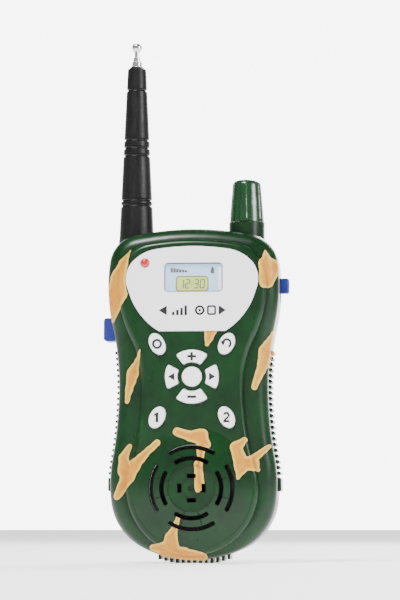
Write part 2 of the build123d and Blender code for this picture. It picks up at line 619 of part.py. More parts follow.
with BuildPart() as front_shell:
    add(front_form.part)
    add(front_cavity.part, mode=Mode.SUBTRACT)
    # lip that keys into the rear shell
    extrude(casing_section(facing(LIP_HEIGHT), WALL - LIP_THICKNESS), amount=LIP_HEIGHT + 1)
    extrude(casing_section(facing(LIP_HEIGHT), WALL), amount=LIP_HEIGHT + 1, mode=Mode.SUBTRACT)
    add(front_posts.part)
    for x, z in CASE_SCREWS:
        bar(PILOT_RADIUS, x, z, 0, CASE_SCREW_SEAT - CASE_SCREW_LENGTH - PILOT_TAIL, mode=Mode.SUBTRACT)
    for x, z in BOARD_SCREWS:
        bar(SMALL_PILOT_RADIUS, x, z, 0, BOARD_FRONT_Y - BOARD_SCREW_GRIP - PILOT_TAIL / 2, mode=Mode.SUBTRACT)
    for x, z in CLAMP_POINTS:
        bar(SMALL_PILOT_RADIUS, x, z, 0, CLAMP_Y + CLAMP_THICKNESS - CLAMP_SCREW_LENGTH - FIT_GAP, mode=Mode.SUBTRACT)
    # recess of the display panel, its window and its lamp hole
    extrude(panel_section(facing(PANEL_BACK_Y)), amount=WALL, mode=Mode.SUBTRACT)
    with BuildSketch(facing(0)):
        with Locations((WINDOW_X, WINDOW_Z)):
            RectangleRounded(WINDOW[0] + 2 * WINDOW_LEDGE, WINDOW[1] + 2 * WINDOW_LEDGE, WINDOW_CORNER)
        with Locations((LED_X, LED_Z)):
            Circle(LED_RADIUS + FIT_GAP)
    extrude(amount=-FACE_Y + 1, mode=Mode.SUBTRACT)
    for section in KEYS.values():
        extrude(section(facing(0), KEY_GAP), amount=-FACE_Y + 1, mode=Mode.SUBTRACT)
    # speaker grille
    for turn in range(0, 360, 90):
        for radius in SLOT_RADII:
            slot = ring_sector(facing(0), DOME_Z, radius - SLOT_WIDTH / 2, radius + SLOT_WIDTH / 2, turn,
                               SLOT_HALF_ANGLE, SLOT_CORNER)
            extrude(slot, amount=-CAP_Y + 1, mode=Mode.SUBTRACT)
    bar(DISH_RADIUS, 0, DOME_Z, DISH_Y, CAP_Y - 1, mode=Mode.SUBTRACT)
    bar(HUB_RADIUS, 0, DOME_Z, DISH_Y + FIT_GAP, DISH_Y - HUB_PROUD)
    bar(HUB_HOLE_RADIUS, 0, DOME_Z, DISH_Y, CAP_Y - 1, mode=Mode.SUBTRACT)
    with BuildSketch(facing(0)):
        with Locations((0, DOME_Z)):
            with PolarLocations(HUB_SLOT_RADIUS, 4):
                Rectangle(*HUB_SLOT)
    extrude(amount=-CAP_Y + 1, mode=Mode.SUBTRACT)
    for inner, outer in ((DISH_RADIUS - SLOT_CORNER, SLOT_RADII[0]), SLOT_RADII):
        middle = (inner + outer) / 2
        with BuildSketch(facing(cap_surface(middle) + TICK_DEPTH)):
            for angle in range(0, 360, 90):
                for side in (-TICK_ANGLE, TICK_ANGLE):
                    with Locations((0, DOME_Z)):
                        with PolarLocations(middle, 1, start_angle=angle + side):
                            Rectangle(outer - inner, TICK_WIDTH)
        extrude(amount=CAP_RISE, mode=Mode.SUBTRACT)
finish(front_shell.part, "front_shell")

# ---- Rear shell --------------------------------------------------------------------------------------------
COLLAR_Z = POT_Z + POT[2]

with BuildPart() as rear_posts:
    for x, z in CASE_SCREWS:
        bar(REAR_BOSS_RADIUS, x, z, PARTING_GAP / 2, REAR_DEPTH)
    for x, z in CLIP_SCREWS:
        bar(SMALL_BOSS_RADIUS, x, z, REAR_DEPTH - CLIP_SCREW_LENGTH - 2 * PILOT_TAIL, REAR_DEPTH)
    slab((-BAY_HALF - BAY_WALL, BAY_HALF + BAY_WALL), (BAY_FRONT_Y - BAY_WALL, REAR_DEPTH),
         (BAY_BOTTOM_Z - BAY_WALL, BAY_TOP_Z + BAY_WALL))
    slab((-DOOR_HALF - WALL, DOOR_HALF + WALL), (BAY_BACK_Y - DOOR_GAP - BAY_WALL, REAR_DEPTH),
         (DOOR_BOTTOM_Z - WALL, DOOR_TOP_Z + WALL))
    slab((-TALK_SWITCH_X, TALK_SWITCH - TALK_SWITCH_X), (SIDE_POST_Y, REAR_DEPTH), TALK_SWITCH_Z)
    slab(POWER_SWITCH_X, (SIDE_POST_Y, REAR_DEPTH), POWER_SLOT_Z)
    slab((AERIAL_X - AERIAL_FOOT[0] / 2, AERIAL_X + AERIAL_FOOT[0] / 2),
         (TOP_GEAR_Y + AERIAL_FOOT[1] / 2, REAR_DEPTH), (AERIAL_FOOT_Z, AERIAL_FOOT_Z + AERIAL_FOOT[2]))
    add(rear_form.part, mode=Mode.INTERSECT)
    post(COLLAR_RADIUS, AERIAL_X, TOP_GEAR_Y, COLLAR_Z, SLEEVE_Z)
    post(COLLAR_RADIUS, KNOB_X, TOP_GEAR_Y, COLLAR_Z, KNOB_Z - KNOB_FLOAT)

with BuildPart() as grips:
    with BuildSketch(facing(RIB_START)):
        for i in range(SIDE_RIBS):
            z = SIDE_RIB_Z + RIB_PITCH * i
            for way in (-1, 1):
                with Locations((way * (casing_half(z) + RIB_PROUD / 2 - WALL / 2 + 0.1), z)):
                    SlotOverall(RIB_PROUD + WALL - 0.2, RIB_THICKNESS)
        for way in (-1, 1):
            with Locations((way * (casing_half(LOBE_Z) + RIB_PROUD / 2 - WALL / 2 + 0.1), LOBE_Z)):
                RectangleRounded(RIB_PROUD + WALL - 0.2, RIB_LUG_HEIGHT, RIB_PROUD * 0.6)
        for i in range(FOOT_TEETH):
            x = RIB_PITCH * (i - (FOOT_TEETH - 1) / 2)
            top = casing_bottom(abs(x)) + WALL * 0.6
            tip = max(0.0, casing_bottom(abs(x)) - TOOTH_LENGTH)
            with Locations((x, (top + tip) / 2)):
                Rectangle(TOOTH_WIDTH, top - tip)
    extrude(amount=-RIB_LENGTH)

with BuildPart() as lip_room:
    extrude(casing_section(facing(LIP_HEIGHT + LIP_GAP), WALL - LIP_THICKNESS - LIP_GAP), amount=LIP_HEIGHT + 1)
    extrude(casing_section(facing(LIP_HEIGHT + LIP_GAP), WALL + LIP_GAP), amount=LIP_HEIGHT + 1, mode=Mode.SUBTRACT)

with BuildPart() as rear_shell:
    add(rear_form.part)
    add(grips.part)
    add(rear_cavity.part, mode=Mode.SUBTRACT)
    add(rear_posts.part)
    add(lip_room.part, mode=Mode.SUBTRACT)
    # battery bay, the recess of its door and the door's pin holes
    slab((-BAY_HALF, BAY_HALF), (BAY_FRONT_Y, REAR_DEPTH + 1), (BAY_BOTTOM_Z, BAY_TOP_Z), mode=Mode.SUBTRACT)
    slab((-DOOR_HALF - DOOR_GAP, DOOR_HALF + DOOR_GAP), (BAY_BACK_Y - DOOR_GAP, REAR_DEPTH + 1),
         (DOOR_BOTTOM_Z - DOOR_GAP, DOOR_TOP_Z + DOOR_GAP), mode=Mode.SUBTRACT)
    with Locations((0, DOOR_HINGE[0], DOOR_HINGE[1])):
        Cylinder(DOOR_PIN_RADIUS + LIP_GAP, 2 * (DOOR_HALF + DOOR_PIN_LENGTH + DOOR_GAP), rotation=(0, 90, 0),
                 mode=Mode.SUBTRACT)
    slab((-LEAD_OPENING[0] / 2, LEAD_OPENING[0] / 2), (0, BAY_FRONT_Y + 1), (BAY_TOP_Z - LEAD_OPENING[1], BAY_TOP_Z),
         mode=Mode.SUBTRACT)
    # screw seats
    for x, z in CASE_SCREWS:
        bar(SCREW_PASS_RADIUS, x, z, -1, REAR_DEPTH + 1, mode=Mode.SUBTRACT)
        bar(HEAD_BORE_RADIUS, x, z, CASE_SCREW_SEAT, REAR_DEPTH + 1, mode=Mode.SUBTRACT)
    for x, z in CLIP_SCREWS:
        bar(SMALL_PILOT_RADIUS, x, z, REAR_DEPTH - CLIP_SCREW_LENGTH - PILOT_TAIL, REAR_DEPTH + 1, mode=Mode.SUBTRACT)
    bar(SMALL_PILOT_RADIUS, AERIAL_X, AERIAL_SCREW_Z, 0,
        TOP_GEAR_Y + AERIAL_FOOT[1] / 2 + AERIAL_SCREW_GRIP + PILOT_TAIL, mode=Mode.SUBTRACT)
    # seat of the aerial sleeve, and the bores of the aerial and the volume control
    post(SLEEVE_BASE_RADIUS + FIT_GAP, AERIAL_X, TOP_GEAR_Y, SLEEVE_Z, BODY_HEIGHT, mode=Mode.SUBTRACT)
    post(TUBE_RADII[0] + FIT_GAP, AERIAL_X, TOP_GEAR_Y, COLLAR_Z - 1, SLEEVE_Z + 1, mode=Mode.SUBTRACT)
    post(BUSHING_RADIUS + FIT_GAP, KNOB_X, TOP_GEAR_Y, COLLAR_Z - 1, KNOB_Z, mode=Mode.SUBTRACT)
    # windows of the side switches
    slab((-SHOULDER_HALF - 1, -TALK_FLANGE_X + 1), (SWITCH_Y - TALK_SIZE[0] / 2 - SWITCH_GAP,
         SWITCH_Y + TALK_SIZE[0] / 2 + SWITCH_GAP), (TALK_Z - TALK_SIZE[1] / 2 - SWITCH_GAP,
         TALK_Z + TALK_SIZE[1] / 2 + SWITCH_GAP), mode=Mode.SUBTRACT)
    slab((POWER_FLANGE_X - 1, SHOULDER_HALF + 1), (SWITCH_Y - POWER_SIZE[0] / 2 - SWITCH_GAP,
         SWITCH_Y + POWER_SIZE[0] / 2 + SWITCH_GAP), POWER_SLOT_Z, mode=Mode.SUBTRACT)
finish(rear_shell.part, "rear_shell")

# ---- Display and lamp --------------------------------------------------------------------------------------
with BuildPart() as display_panel:
    extrude(panel_section(facing(PANEL_BACK_Y), PANEL_GAP), amount=PANEL_THICKNESS)
    chamfer(display_panel.faces().sort_by(Axis.Y)[0].edges(), PANEL_PROUD)
    with BuildSketch(facing(0)):
        with Locations((WINDOW_X, WINDOW_Z)):
            RectangleRounded(*WINDOW, WINDOW_CORNER)
        with Locations((LED_X, LED_Z)):
            Circle(LED_RADIUS + FIT_GAP)
    extrude(amount=-FACE_Y + 1, mode=Mode.SUBTRACT)
finish(display_panel.part, "display_panel")

LENS_SIZE = [side + 2 * WINDOW_LEDGE - 2 * FIT_GAP for side in WINDOW]
LENS_BACK_Y = PANEL_BACK_Y + LENS_THICKNESS
with BuildPart() as display_window:
    with BuildSketch(facing(LENS_BACK_Y)):
        with Locations((WINDOW_X, WINDOW_Z)):
            RectangleRounded(*LENS_SIZE, WINDOW_CORNER)
    extrude(amount=LENS_THICKNESS)
finish(display_window.part, "display_window")

with BuildPart() as lcd_glass:
    with BuildSketch(facing(LENS_BACK_Y + LCD_THICKNESS)):
        with Locations((0, LCD_Z)):
            RectangleRounded(*LCD, WINDOW_CORNER)
    extrude(amount=LCD_THICKNESS)
finish(lcd_glass.part, "lcd_glass")

with BuildPart() as display_card:
    with BuildSketch(facing(LENS_BACK_Y + CARD_THICKNESS)):
        with Locations((WINDOW_X, WINDOW_Z)):
            RectangleRounded(*LENS_SIZE, WINDOW_CORNER)
    extrude(amount=CARD_THICKNESS)
    with BuildSketch(facing(LENS_BACK_Y + LCD_THICKNESS)):
        with Locations((0, LCD_Z)):
            RectangleRounded(*LCD, WINDOW_CORNER)
    extrude(amount=LCD_THICKNESS, mode=Mode.SUBTRACT)
finish(display_card.part, "display_card")

with BuildPart() as power_lamp:
    bar(LED_RADIUS, LED_X, LED_Z, INNER_Y, FACE_Y - LED_PROUD)
    fillet(power_lamp.edges().sort_by(Axis.Y)[0], LED_ROUND)
    bar(LED_RADIUS + LED_FLANGE, LED_X, LED_Z, INNER_Y + KEY_FLANGE_THICKNESS, INNER_Y)
    for side in (-LED_LEG_SPREAD, LED_LEG_SPREAD):
        slab((LED_X + side - LED_LEG / 2, LED_X + side + LED_LEG / 2), (INNER_Y, BOARD_FRONT_Y),
             (LED_Z - LED_LEG / 2, LED_Z + LED_LEG / 2))
finish(power_lamp.part, "power_lamp")

# ---- Keys, mat and board -----------------------------------------------------------------------------------
for key_name, section in KEYS.items():
    with BuildPart() as key:
        extrude(section(facing(INNER_Y + FIT_GAP), 0), amount=INNER_Y + FIT_GAP - FACE_Y + KEY_PROUD)
        fillet(key.faces().sort_by(Axis.Y)[0].edges(), KEY_EDGE)
        extrude(section(facing(KEY_BACK_Y), KEY_GAP + KEY_FLANGE), amount=KEY_FLANGE_THICKNESS)
    finish(key.part, key_name)

PAD_MIDDLE = (PAD_INNER + PAD_OUTER) / 2
DOME_POINTS = [
    (0, KEYPAD_Z), (PAD_MIDDLE, KEYPAD_Z), (-PAD_MIDDLE, KEYPAD_Z),
    (0, KEYPAD_Z + PAD_MIDDLE), (0, KEYPAD_Z - PAD_MIDDLE),
    (OVAL_X, KEYPAD_Z + OVAL_TOP_RISE), (-OVAL_X, KEYPAD_Z + OVAL_TOP_RISE),
    (OVAL_X, KEYPAD_Z - OVAL_BOTTOM_DROP), (-OVAL_X, KEYPAD_Z - OVAL_BOTTOM_DROP),
]
MAT_Z = (KEYPAD_Z - OVAL_BOTTOM_DROP - OVAL_KEY[1], KEYPAD_Z + OVAL_TOP_RISE + OVAL_KEY[1])
with BuildPart() as keypad_mat:
    slab((-MAT_HALF, MAT_HALF), (MAT_FRONT_Y, BOARD_FRONT_Y), MAT_Z)
    fillet(keypad_mat.edges().filter_by(Axis.Y), WALL)
    for x, z in DOME_POINTS:
        with Locations((x, MAT_FRONT_Y - MAT_DOME_HEIGHT / 2, z)):
            Cone(MAT_DOME_RADIUS, MAT_DOME_RADIUS / 2, MAT_DOME_HEIGHT, rotation=(90, 0, 0))
finish(keypad_mat.part, "keypad_mat")

with BuildPart() as main_board:
    slab((-BOARD_HALF, BOARD_HALF), (BOARD_FRONT_Y, BOARD_BACK_Y), (BOARD_BOTTOM_Z, BOARD_TOP_Z))
    chamfer(main_board.edges().filter_by(Axis.Y), WALL)
    for x, z in BOARD_SCREWS:
        bar(SMALL_PILOT_RADIUS + FIT_GAP, x, z, BOARD_FRONT_Y - 1, BOARD_BACK_Y + 1, mode=Mode.SUBTRACT)
finish(main_board.part, "main_board")

with BuildPart() as board_chips:
    for x, rise, width, height in CHIPS:
        z = BOARD_BOTTOM_Z + rise
        slab((x - width / 2, x + width / 2), (BOARD_BACK_Y, BOARD_BACK_Y + CHIP_THICKNESS),
             (z - height / 2, z + height / 2))
finish(board_chips.part, "board_chips")

with BuildPart() as board_capacitors:
    for x, rise in CAPACITORS:
        bar(CAPACITOR[0], x, BOARD_BOTTOM_Z + rise, BOARD_BACK_Y, BOARD_BACK_Y + CAPACITOR[1])
    fillet(board_capacitors.faces().sort_by(Axis.Y)[-len(CAPACITORS):].edges(), CAPACITOR_EDGE)
finish(board_capacitors.part, "board_capacitors")

with BuildPart() as tuning_coils:
    for x, rise in TUNING_COILS:
        z = BOARD_BOTTOM_Z + rise
        slab((x - TUNING_CAN[0] / 2, x + TUNING_CAN[0] / 2), (BOARD_BACK_Y, BOARD_BACK_Y + TUNING_CAN[1]),
             (z - TUNING_CAN[0] / 2, z + TUNING_CAN[0] / 2))
        bar(TUNING_CORE[0], x, z, BOARD_BACK_Y + TUNING_CAN[1] - TUNING_CORE[1], BOARD_BACK_Y + TUNING_CAN[1] + 1,
            mode=Mode.SUBTRACT)
finish(tuning_coils.part, "tuning_coils")

with BuildPart() as crystal_can:
    with BuildSketch(facing(BOARD_BACK_Y)):
        with Locations((CRYSTAL_PLACE[0], BOARD_BOTTOM_Z + CRYSTAL_PLACE[1])):
            SlotOverall(CRYSTAL[0], CRYSTAL[1])
    extrude(amount=-CRYSTAL[2])
finish(crystal_can.part, "crystal_can")

with BuildPart() as board_transistors:
    for x, rise in TRANSISTORS:
        z = BOARD_BOTTOM_Z + rise
        bar(TRANSISTOR[0], x, z, BOARD_BACK_Y, BOARD_BACK_Y + TRANSISTOR[1])
        slab((x - 2 * TRANSISTOR[0], x + 2 * TRANSISTOR[0]), (BOARD_BACK_Y - 1, BOARD_BACK_Y + TRANSISTOR[1] + 1),
             (z - 2 * TRANSISTOR[0], z - TRANSISTOR_FLAT), mode=Mode.SUBTRACT)
finish(board_transistors.part, "board_transistors")

# ---- Speaker -----------------------------------------------------------------------------------------------
SPEAKER_INNER = SPEAKER_RADIUS - SPEAKER_FLANGE_WIDTH
with BuildPart() as speaker_gasket:
    bar(SPEAKER_RADIUS, 0, DOME_Z, SPEAKER_FRONT_Y, INNER_Y)
    bar(SPEAKER_RADIUS - GASKET_WIDTH, 0, DOME_Z, SPEAKER_FRONT_Y, INNER_Y, mode=Mode.SUBTRACT)
finish(speaker_gasket.part, "speaker_gasket")

with BuildPart() as speaker_frame:
    with BuildSketch(Plane.XY.offset(DOME_Z)):
        with BuildLine():
            Polyline((SPEAKER_INNER, SPEAKER_FRONT_Y), (SPEAKER_RADIUS, SPEAKER_FRONT_Y),
                     (SPEAKER_RADIUS, SPEAKER_FRONT_Y + SPEAKER_FLANGE),
                     (SPEAKER_INNER + SPEAKER_FLANGE, SPEAKER_FRONT_Y + SPEAKER_FLANGE),
                     (SPEAKER_BACK_RADIUS + SPEAKER_FLANGE, SPEAKER_BACK_Y), (SPEAKER_VENT_RADIUS, SPEAKER_BACK_Y),
                     (SPEAKER_VENT_RADIUS, SPEAKER_BACK_Y - SPEAKER_FLANGE),
                     (SPEAKER_BACK_RADIUS, SPEAKER_BACK_Y - SPEAKER_FLANGE), close=True)
        make_face()
    revolve(axis=Axis((0, 0, DOME_Z), (0, 1, 0)))
finish(speaker_frame.part, "speaker_frame")

with BuildPart() as speaker_magnet:
    bar(MAGNET_RADIUS, 0, DOME_Z, SPEAKER_BACK_Y, SPEAKER_BACK_Y + MAGNET_THICKNESS)
    chamfer(speaker_magnet.faces().sort_by(Axis.Y)[-1].edges(), SPEAKER_FLANGE / 2)
finish(speaker_magnet.part, "speaker_magnet")

with BuildPart() as speaker_cone:
    with BuildSketch(Plane.XY.offset(DOME_Z)):
        with BuildLine():
            Polyline((0, SPEAKER_FRONT_Y + CONE_CAP_DEPTH), (CONE_CAP_RADIUS, SPEAKER_FRONT_Y + CONE_DEPTH),
                     (SPEAKER_INNER - CONE_ROLL, SPEAKER_FRONT_Y), (SPEAKER_INNER, SPEAKER_FRONT_Y),
                     (SPEAKER_INNER - CONE_ROLL / 2, SPEAKER_FRONT_Y + CONE_THICKNESS),
                     (CONE_CAP_RADIUS, SPEAKER_FRONT_Y + CONE_DEPTH + CONE_THICKNESS),
                     (0, SPEAKER_FRONT_Y + CONE_CAP_DEPTH + CONE_THICKNESS), close=True)
        make_face()
    revolve(axis=Axis((0, 0, DOME_Z), (0, 1, 0)))
finish(speaker_cone.part, "speaker_cone")

with BuildPart() as speaker_clamps:
    for x, z in CLAMP_POINTS:
        bar(CLAMP_RADIUS, x, z, CLAMP_Y, CLAMP_Y + CLAMP_THICKNESS)
        bar(SMALL_PILOT_RADIUS, x, z, CLAMP_Y, CLAMP_Y + CLAMP_THICKNESS, mode=Mode.SUBTRACT)
finish(speaker_clamps.part, "speaker_clamps")

# ---- Battery -----------------------------------------------------------------------------------------------
CAN_TOP_Z = BATTERY_Z + BATTERY[2]
SNAP_Z = CAN_TOP_Z + TERMINAL_HEIGHT
with BuildPart() as battery:
    slab((-BATTERY[0] / 2, BATTERY[0] / 2), (BATTERY_Y - BATTERY[1] / 2, BATTERY_Y + BATTERY[1] / 2),
         (BATTERY_Z, CAN_TOP_Z))
    fillet(battery.edges().filter_by(Axis.Z), BATTERY_CORNER)
    for radius, x in zip(TERMINAL_RADII, (-TERMINAL_X, TERMINAL_X)):
        post(radius, x, BATTERY_Y, CAN_TOP_Z, SNAP_Z)
finish(battery.part, "battery")

with BuildPart() as battery_snap:
    slab((-SNAP[0] / 2, SNAP[0] / 2), (BATTERY_Y - SNAP[1] / 2, BATTERY_Y + SNAP[1] / 2), (SNAP_Z, SNAP_Z + SNAP[2]))
    fillet(battery_snap.edges().filter_by(Axis.Z), SNAP[1] * 0.4)
finish(battery_snap.part, "battery_snap")

with BuildPart() as battery_door:
    slab((-DOOR_HALF, DOOR_HALF), (BAY_BACK_Y, REAR_DEPTH), (DOOR_BOTTOM_Z, DOOR_TOP_Z))
    fillet(battery_door.edges().filter_by(Axis.X).sort_by(Axis.Z)[:2], DOOR_THICKNESS * 0.49)
    for i in range(DOOR_NOTCHES):
        half = DOOR_NOTCH[0] - i * DOOR_NOTCH_TAPER
        top = DOOR_TOP_Z - DOOR_NOTCH_DROP - i * DOOR_NOTCH_PITCH
        slab((-half, half), (REAR_DEPTH - DOOR_NOTCH[1], REAR_DEPTH + 1), (top - DOOR_NOTCH[2], top),
             mode=Mode.SUBTRACT)
    with Locations((0, DOOR_HINGE[0], DOOR_HINGE[1])):
        Cylinder(DOOR_PIN_RADIUS, 2 * (DOOR_HALF + DOOR_PIN_LENGTH), rotation=(0, 90, 0))
finish(battery_door.part, "battery_door")

with BuildPart() as battery_pad:
    slab((-BATTERY[0] / 3, BATTERY[0] / 3), (BAY_FRONT_Y, BATTERY_Y - BATTERY[1] / 2),
         (BATTERY_Z + BATTERY_PAD_INSET, CAN_TOP_Z - BATTERY_PAD_INSET))
finish(battery_pad.part, "battery_pad")

# ---- Aerial ------------------------------------------------------------------------------------------------
FOOT_TOP_Z = AERIAL_FOOT_Z + AERIAL_FOOT[2]
SEAT_Z = AERIAL_FOOT_Z + AERIAL_SEAT
with BuildPart() as aerial_foot:
    slab((AERIAL_X - AERIAL_FOOT[0] / 2, AERIAL_X + AERIAL_FOOT[0] / 2),
         (TOP_GEAR_Y - AERIAL_FOOT[1] / 2, TOP_GEAR_Y + AERIAL_FOOT[1] / 2), (AERIAL_FOOT_Z, FOOT_TOP_Z))
    chamfer(aerial_foot.edges().filter_by(Axis.Z), AERIAL_FOOT_CORNER)
    post(TUBE_RADII[0], AERIAL_X, TOP_GEAR_Y, SEAT_Z, FOOT_TOP_Z, mode=Mode.SUBTRACT)
    bar(SMALL_PILOT_RADIUS + FIT_GAP, AERIAL_X, AERIAL_SCREW_Z, 0, 2 * TOP_GEAR_Y, mode=Mode.SUBTRACT)
finish(aerial_foot.part, "aerial_foot")

with BuildPart() as aerial_sleeve:
    with Locations((AERIAL_X, TOP_GEAR_Y, SLEEVE_Z + SLEEVE_LENGTH / 2)):
        Cone(SLEEVE_BASE_RADIUS, SLEEVE_TOP_RADIUS, SLEEVE_LENGTH)
    chamfer(aerial_sleeve.edges().sort_by(Axis.Z)[-1], SLEEVE_EDGE)
    for share in SLEEVE_GROOVE_SHARES:
        radius = SLEEVE_BASE_RADIUS + share * (SLEEVE_TOP_RADIUS - SLEEVE_BASE_RADIUS)
        with Locations((AERIAL_X, TOP_GEAR_Y, SLEEVE_Z + share * SLEEVE_LENGTH)):
            Torus(radius + SLEEVE_GROOVE[0], SLEEVE_GROOVE[1], mode=Mode.SUBTRACT)
    post(TUBE_RADII[0], AERIAL_X, TOP_GEAR_Y, SLEEVE_Z - 1, SLEEVE_TOP_Z + 1, mode=Mode.SUBTRACT)
finish(aerial_sleeve.part, "aerial_sleeve")

ROD_TOP_Z = SLEEVE_TOP_Z + TUBE_PROUD + 3 * TUBE_STEP
for i, name in enumerate(("aerial_tube_1", "aerial_tube_2", "aerial_tube_3")):
    with BuildPart() as tube:
        post(TUBE_RADII[i], AERIAL_X, TOP_GEAR_Y, SEAT_Z + i * TUBE_STEP, SLEEVE_TOP_Z + TUBE_PROUD + i * TUBE_STEP)
        fillet(tube.edges().sort_by(Axis.Z)[-1], TUBE_EDGE)
        post(TUBE_RADII[i + 1] + TUBE_RUN_GAP, AERIAL_X, TOP_GEAR_Y, SEAT_Z, ROD_TOP_Z, mode=Mode.SUBTRACT)
    finish(tube.part, name)

with BuildPart() as aerial_tip:
    post(TUBE_RADII[3], AERIAL_X, TOP_GEAR_Y, SEAT_Z + 3 * TUBE_STEP, ROD_TOP_Z + TIP_NECK)
    with Locations((AERIAL_X, TOP_GEAR_Y, ROD_TOP_Z + TIP_NECK + TIP_FLARE / 2)):
        Cone(TIP_NECK_RADIUS, TIP_RADIUS, TIP_FLARE)
    post(TIP_RADIUS, AERIAL_X, TOP_GEAR_Y, ROD_TOP_Z + TIP_NECK + TIP_FLARE, ROD_TOP_Z + TIP_NECK + TIP_HEIGHT)
    fillet(aerial_tip.faces().sort_by(Axis.Z)[-1].edges(), TIP_HEIGHT * 0.4)
finish(aerial_tip.part, "aerial_tip")

# ---- Volume control ----------------------------------------------------------------------------------------
with BuildPart() as volume_pot:
    slab((KNOB_X - POT[0] / 2, KNOB_X + POT[0] / 2), (TOP_GEAR_Y - POT[1] / 2, TOP_GEAR_Y + POT[1] / 2),
         (POT_Z, COLLAR_Z))
    post(BUSHING_RADIUS, KNOB_X, TOP_GEAR_Y, COLLAR_Z, KNOB_Z - 2 * KNOB_FLOAT)
    post(SHAFT_RADIUS + SHAFT_GAP, KNOB_X, TOP_GEAR_Y, POT_Z + POT[2] / 2, KNOB_Z, mode=Mode.SUBTRACT)
finish(volume_pot.part, "volume_pot")

with BuildPart() as volume_shaft:
    post(SHAFT_RADIUS, KNOB_X, TOP_GEAR_Y, POT_Z + POT[2] / 2 + SHAFT_GAP, KNOB_Z + SHAFT_IN_KNOB)
    slab((KNOB_X - SHAFT_RADIUS, KNOB_X + SHAFT_RADIUS), (TOP_GEAR_Y + SHAFT_RADIUS / 2, TOP_GEAR_Y + SHAFT_RADIUS),
         (KNOB_Z, KNOB_Z + SHAFT_IN_KNOB), mode=Mode.SUBTRACT)
finish(volume_shaft.part, "volume_shaft")

with BuildPart() as volume_knob:
    with Locations((KNOB_X, TOP_GEAR_Y, KNOB_Z + KNOB_HEIGHT / 2)):
        Cone(KNOB_BASE_RADIUS, KNOB_TOP_RADIUS, KNOB_HEIGHT)
    fillet(volume_knob.edges().sort_by(Axis.Z)[-1], KNOB_TOP_RADIUS * 0.4)
    with Locations((KNOB_X, TOP_GEAR_Y, KNOB_Z + KNOB_HEIGHT / 2 + FLUTE_LIFT)):
        with PolarLocations(KNOB_BASE_RADIUS + FLUTE_OUT, KNOB_FLUTES):
            Cone(FLUTE_RADIUS, FLUTE_RADIUS + KNOB_BASE_RADIUS - KNOB_TOP_RADIUS, KNOB_HEIGHT, mode=Mode.SUBTRACT)
    post(SHAFT_RADIUS, KNOB_X, TOP_GEAR_Y, KNOB_Z - 1, KNOB_Z + SHAFT_IN_KNOB, mode=Mode.SUBTRACT)
    slab((KNOB_X - SHAFT_RADIUS, KNOB_X + SHAFT_RADIUS), (TOP_GEAR_Y + SHAFT_RADIUS / 2, TOP_GEAR_Y + SHAFT_RADIUS),
         (KNOB_Z, KNOB_Z + SHAFT_IN_KNOB))
finish(volume_knob.part, "volume_knob")

# ---- Side switches -----------------------------------------------------------------------------------------
with BuildPart() as talk_button:
    slab((-casing_half(TALK_Z) - TALK_PROUD, -TALK_FLANGE_X),
         (SWITCH_Y - TALK_SIZE[0] / 2, SWITCH_Y + TALK_SIZE[0] / 2),
         (TALK_Z - TALK_SIZE[1] / 2, TALK_Z + TALK_SIZE[1] / 2))
    fillet(talk_button.faces().sort_by(Axis.X)[0].edges(), TALK_EDGE)
    slab((-TALK_FLANGE_X, TALK_FLANGE_THICKNESS - TALK_FLANGE_X),
         (SWITCH_Y - TALK_SIZE[0] / 2 - TALK_FLANGE, SWITCH_Y + TALK_SIZE[0] / 2 + TALK_FLANGE),
         (TALK_Z - TALK_SIZE[1] / 2 - TALK_FLANGE, TALK_Z + TALK_SIZE[1] / 2 + TALK_FLANGE))
    with Locations((TALK_FLANGE_THICKNESS + TALK_STEM_LENGTH / 2 - TALK_FLANGE_X, SWITCH_Y, TALK_Z)):
        Cylinder(TALK_STEM_RADIUS, TALK_STEM_LENGTH, rotation=(0, 90, 0))
finish(talk_button.part, "talk_button")

with BuildPart() as talk_switch:
    slab((-TALK_SWITCH_X, TALK_SWITCH - TALK_SWITCH_X), (SWITCH_Y - TALK_SWITCH / 2, SIDE_POST_Y), TALK_SWITCH_Z)
finish(talk_switch.part, "talk_switch")

with BuildPart() as power_slider:
    slab((POWER_FLANGE_X, casing_half(POWER_Z) + POWER_PROUD),
         (SWITCH_Y - POWER_SIZE[0] / 2, SWITCH_Y + POWER_SIZE[0] / 2),
         (POWER_Z - POWER_SIZE[1] / 2, POWER_Z + POWER_SIZE[1] / 2))
    fillet(power_slider.faces().sort_by(Axis.X)[-1].edges(), POWER_EDGE)
    slab((POWER_FLANGE_X - POWER_FLANGE, POWER_FLANGE_X),
         (SWITCH_Y - POWER_SIZE[0] / 2 - POWER_FLANGE, SWITCH_Y + POWER_SIZE[0] / 2 + POWER_FLANGE), POWER_FLANGE_Z)
finish(power_slider.part, "power_slider")

with BuildPart() as power_switch:
    slab(POWER_SWITCH_X, (SWITCH_Y - TALK_SWITCH / 2, SIDE_POST_Y), POWER_SLOT_Z)
finish(power_switch.part, "power_switch")

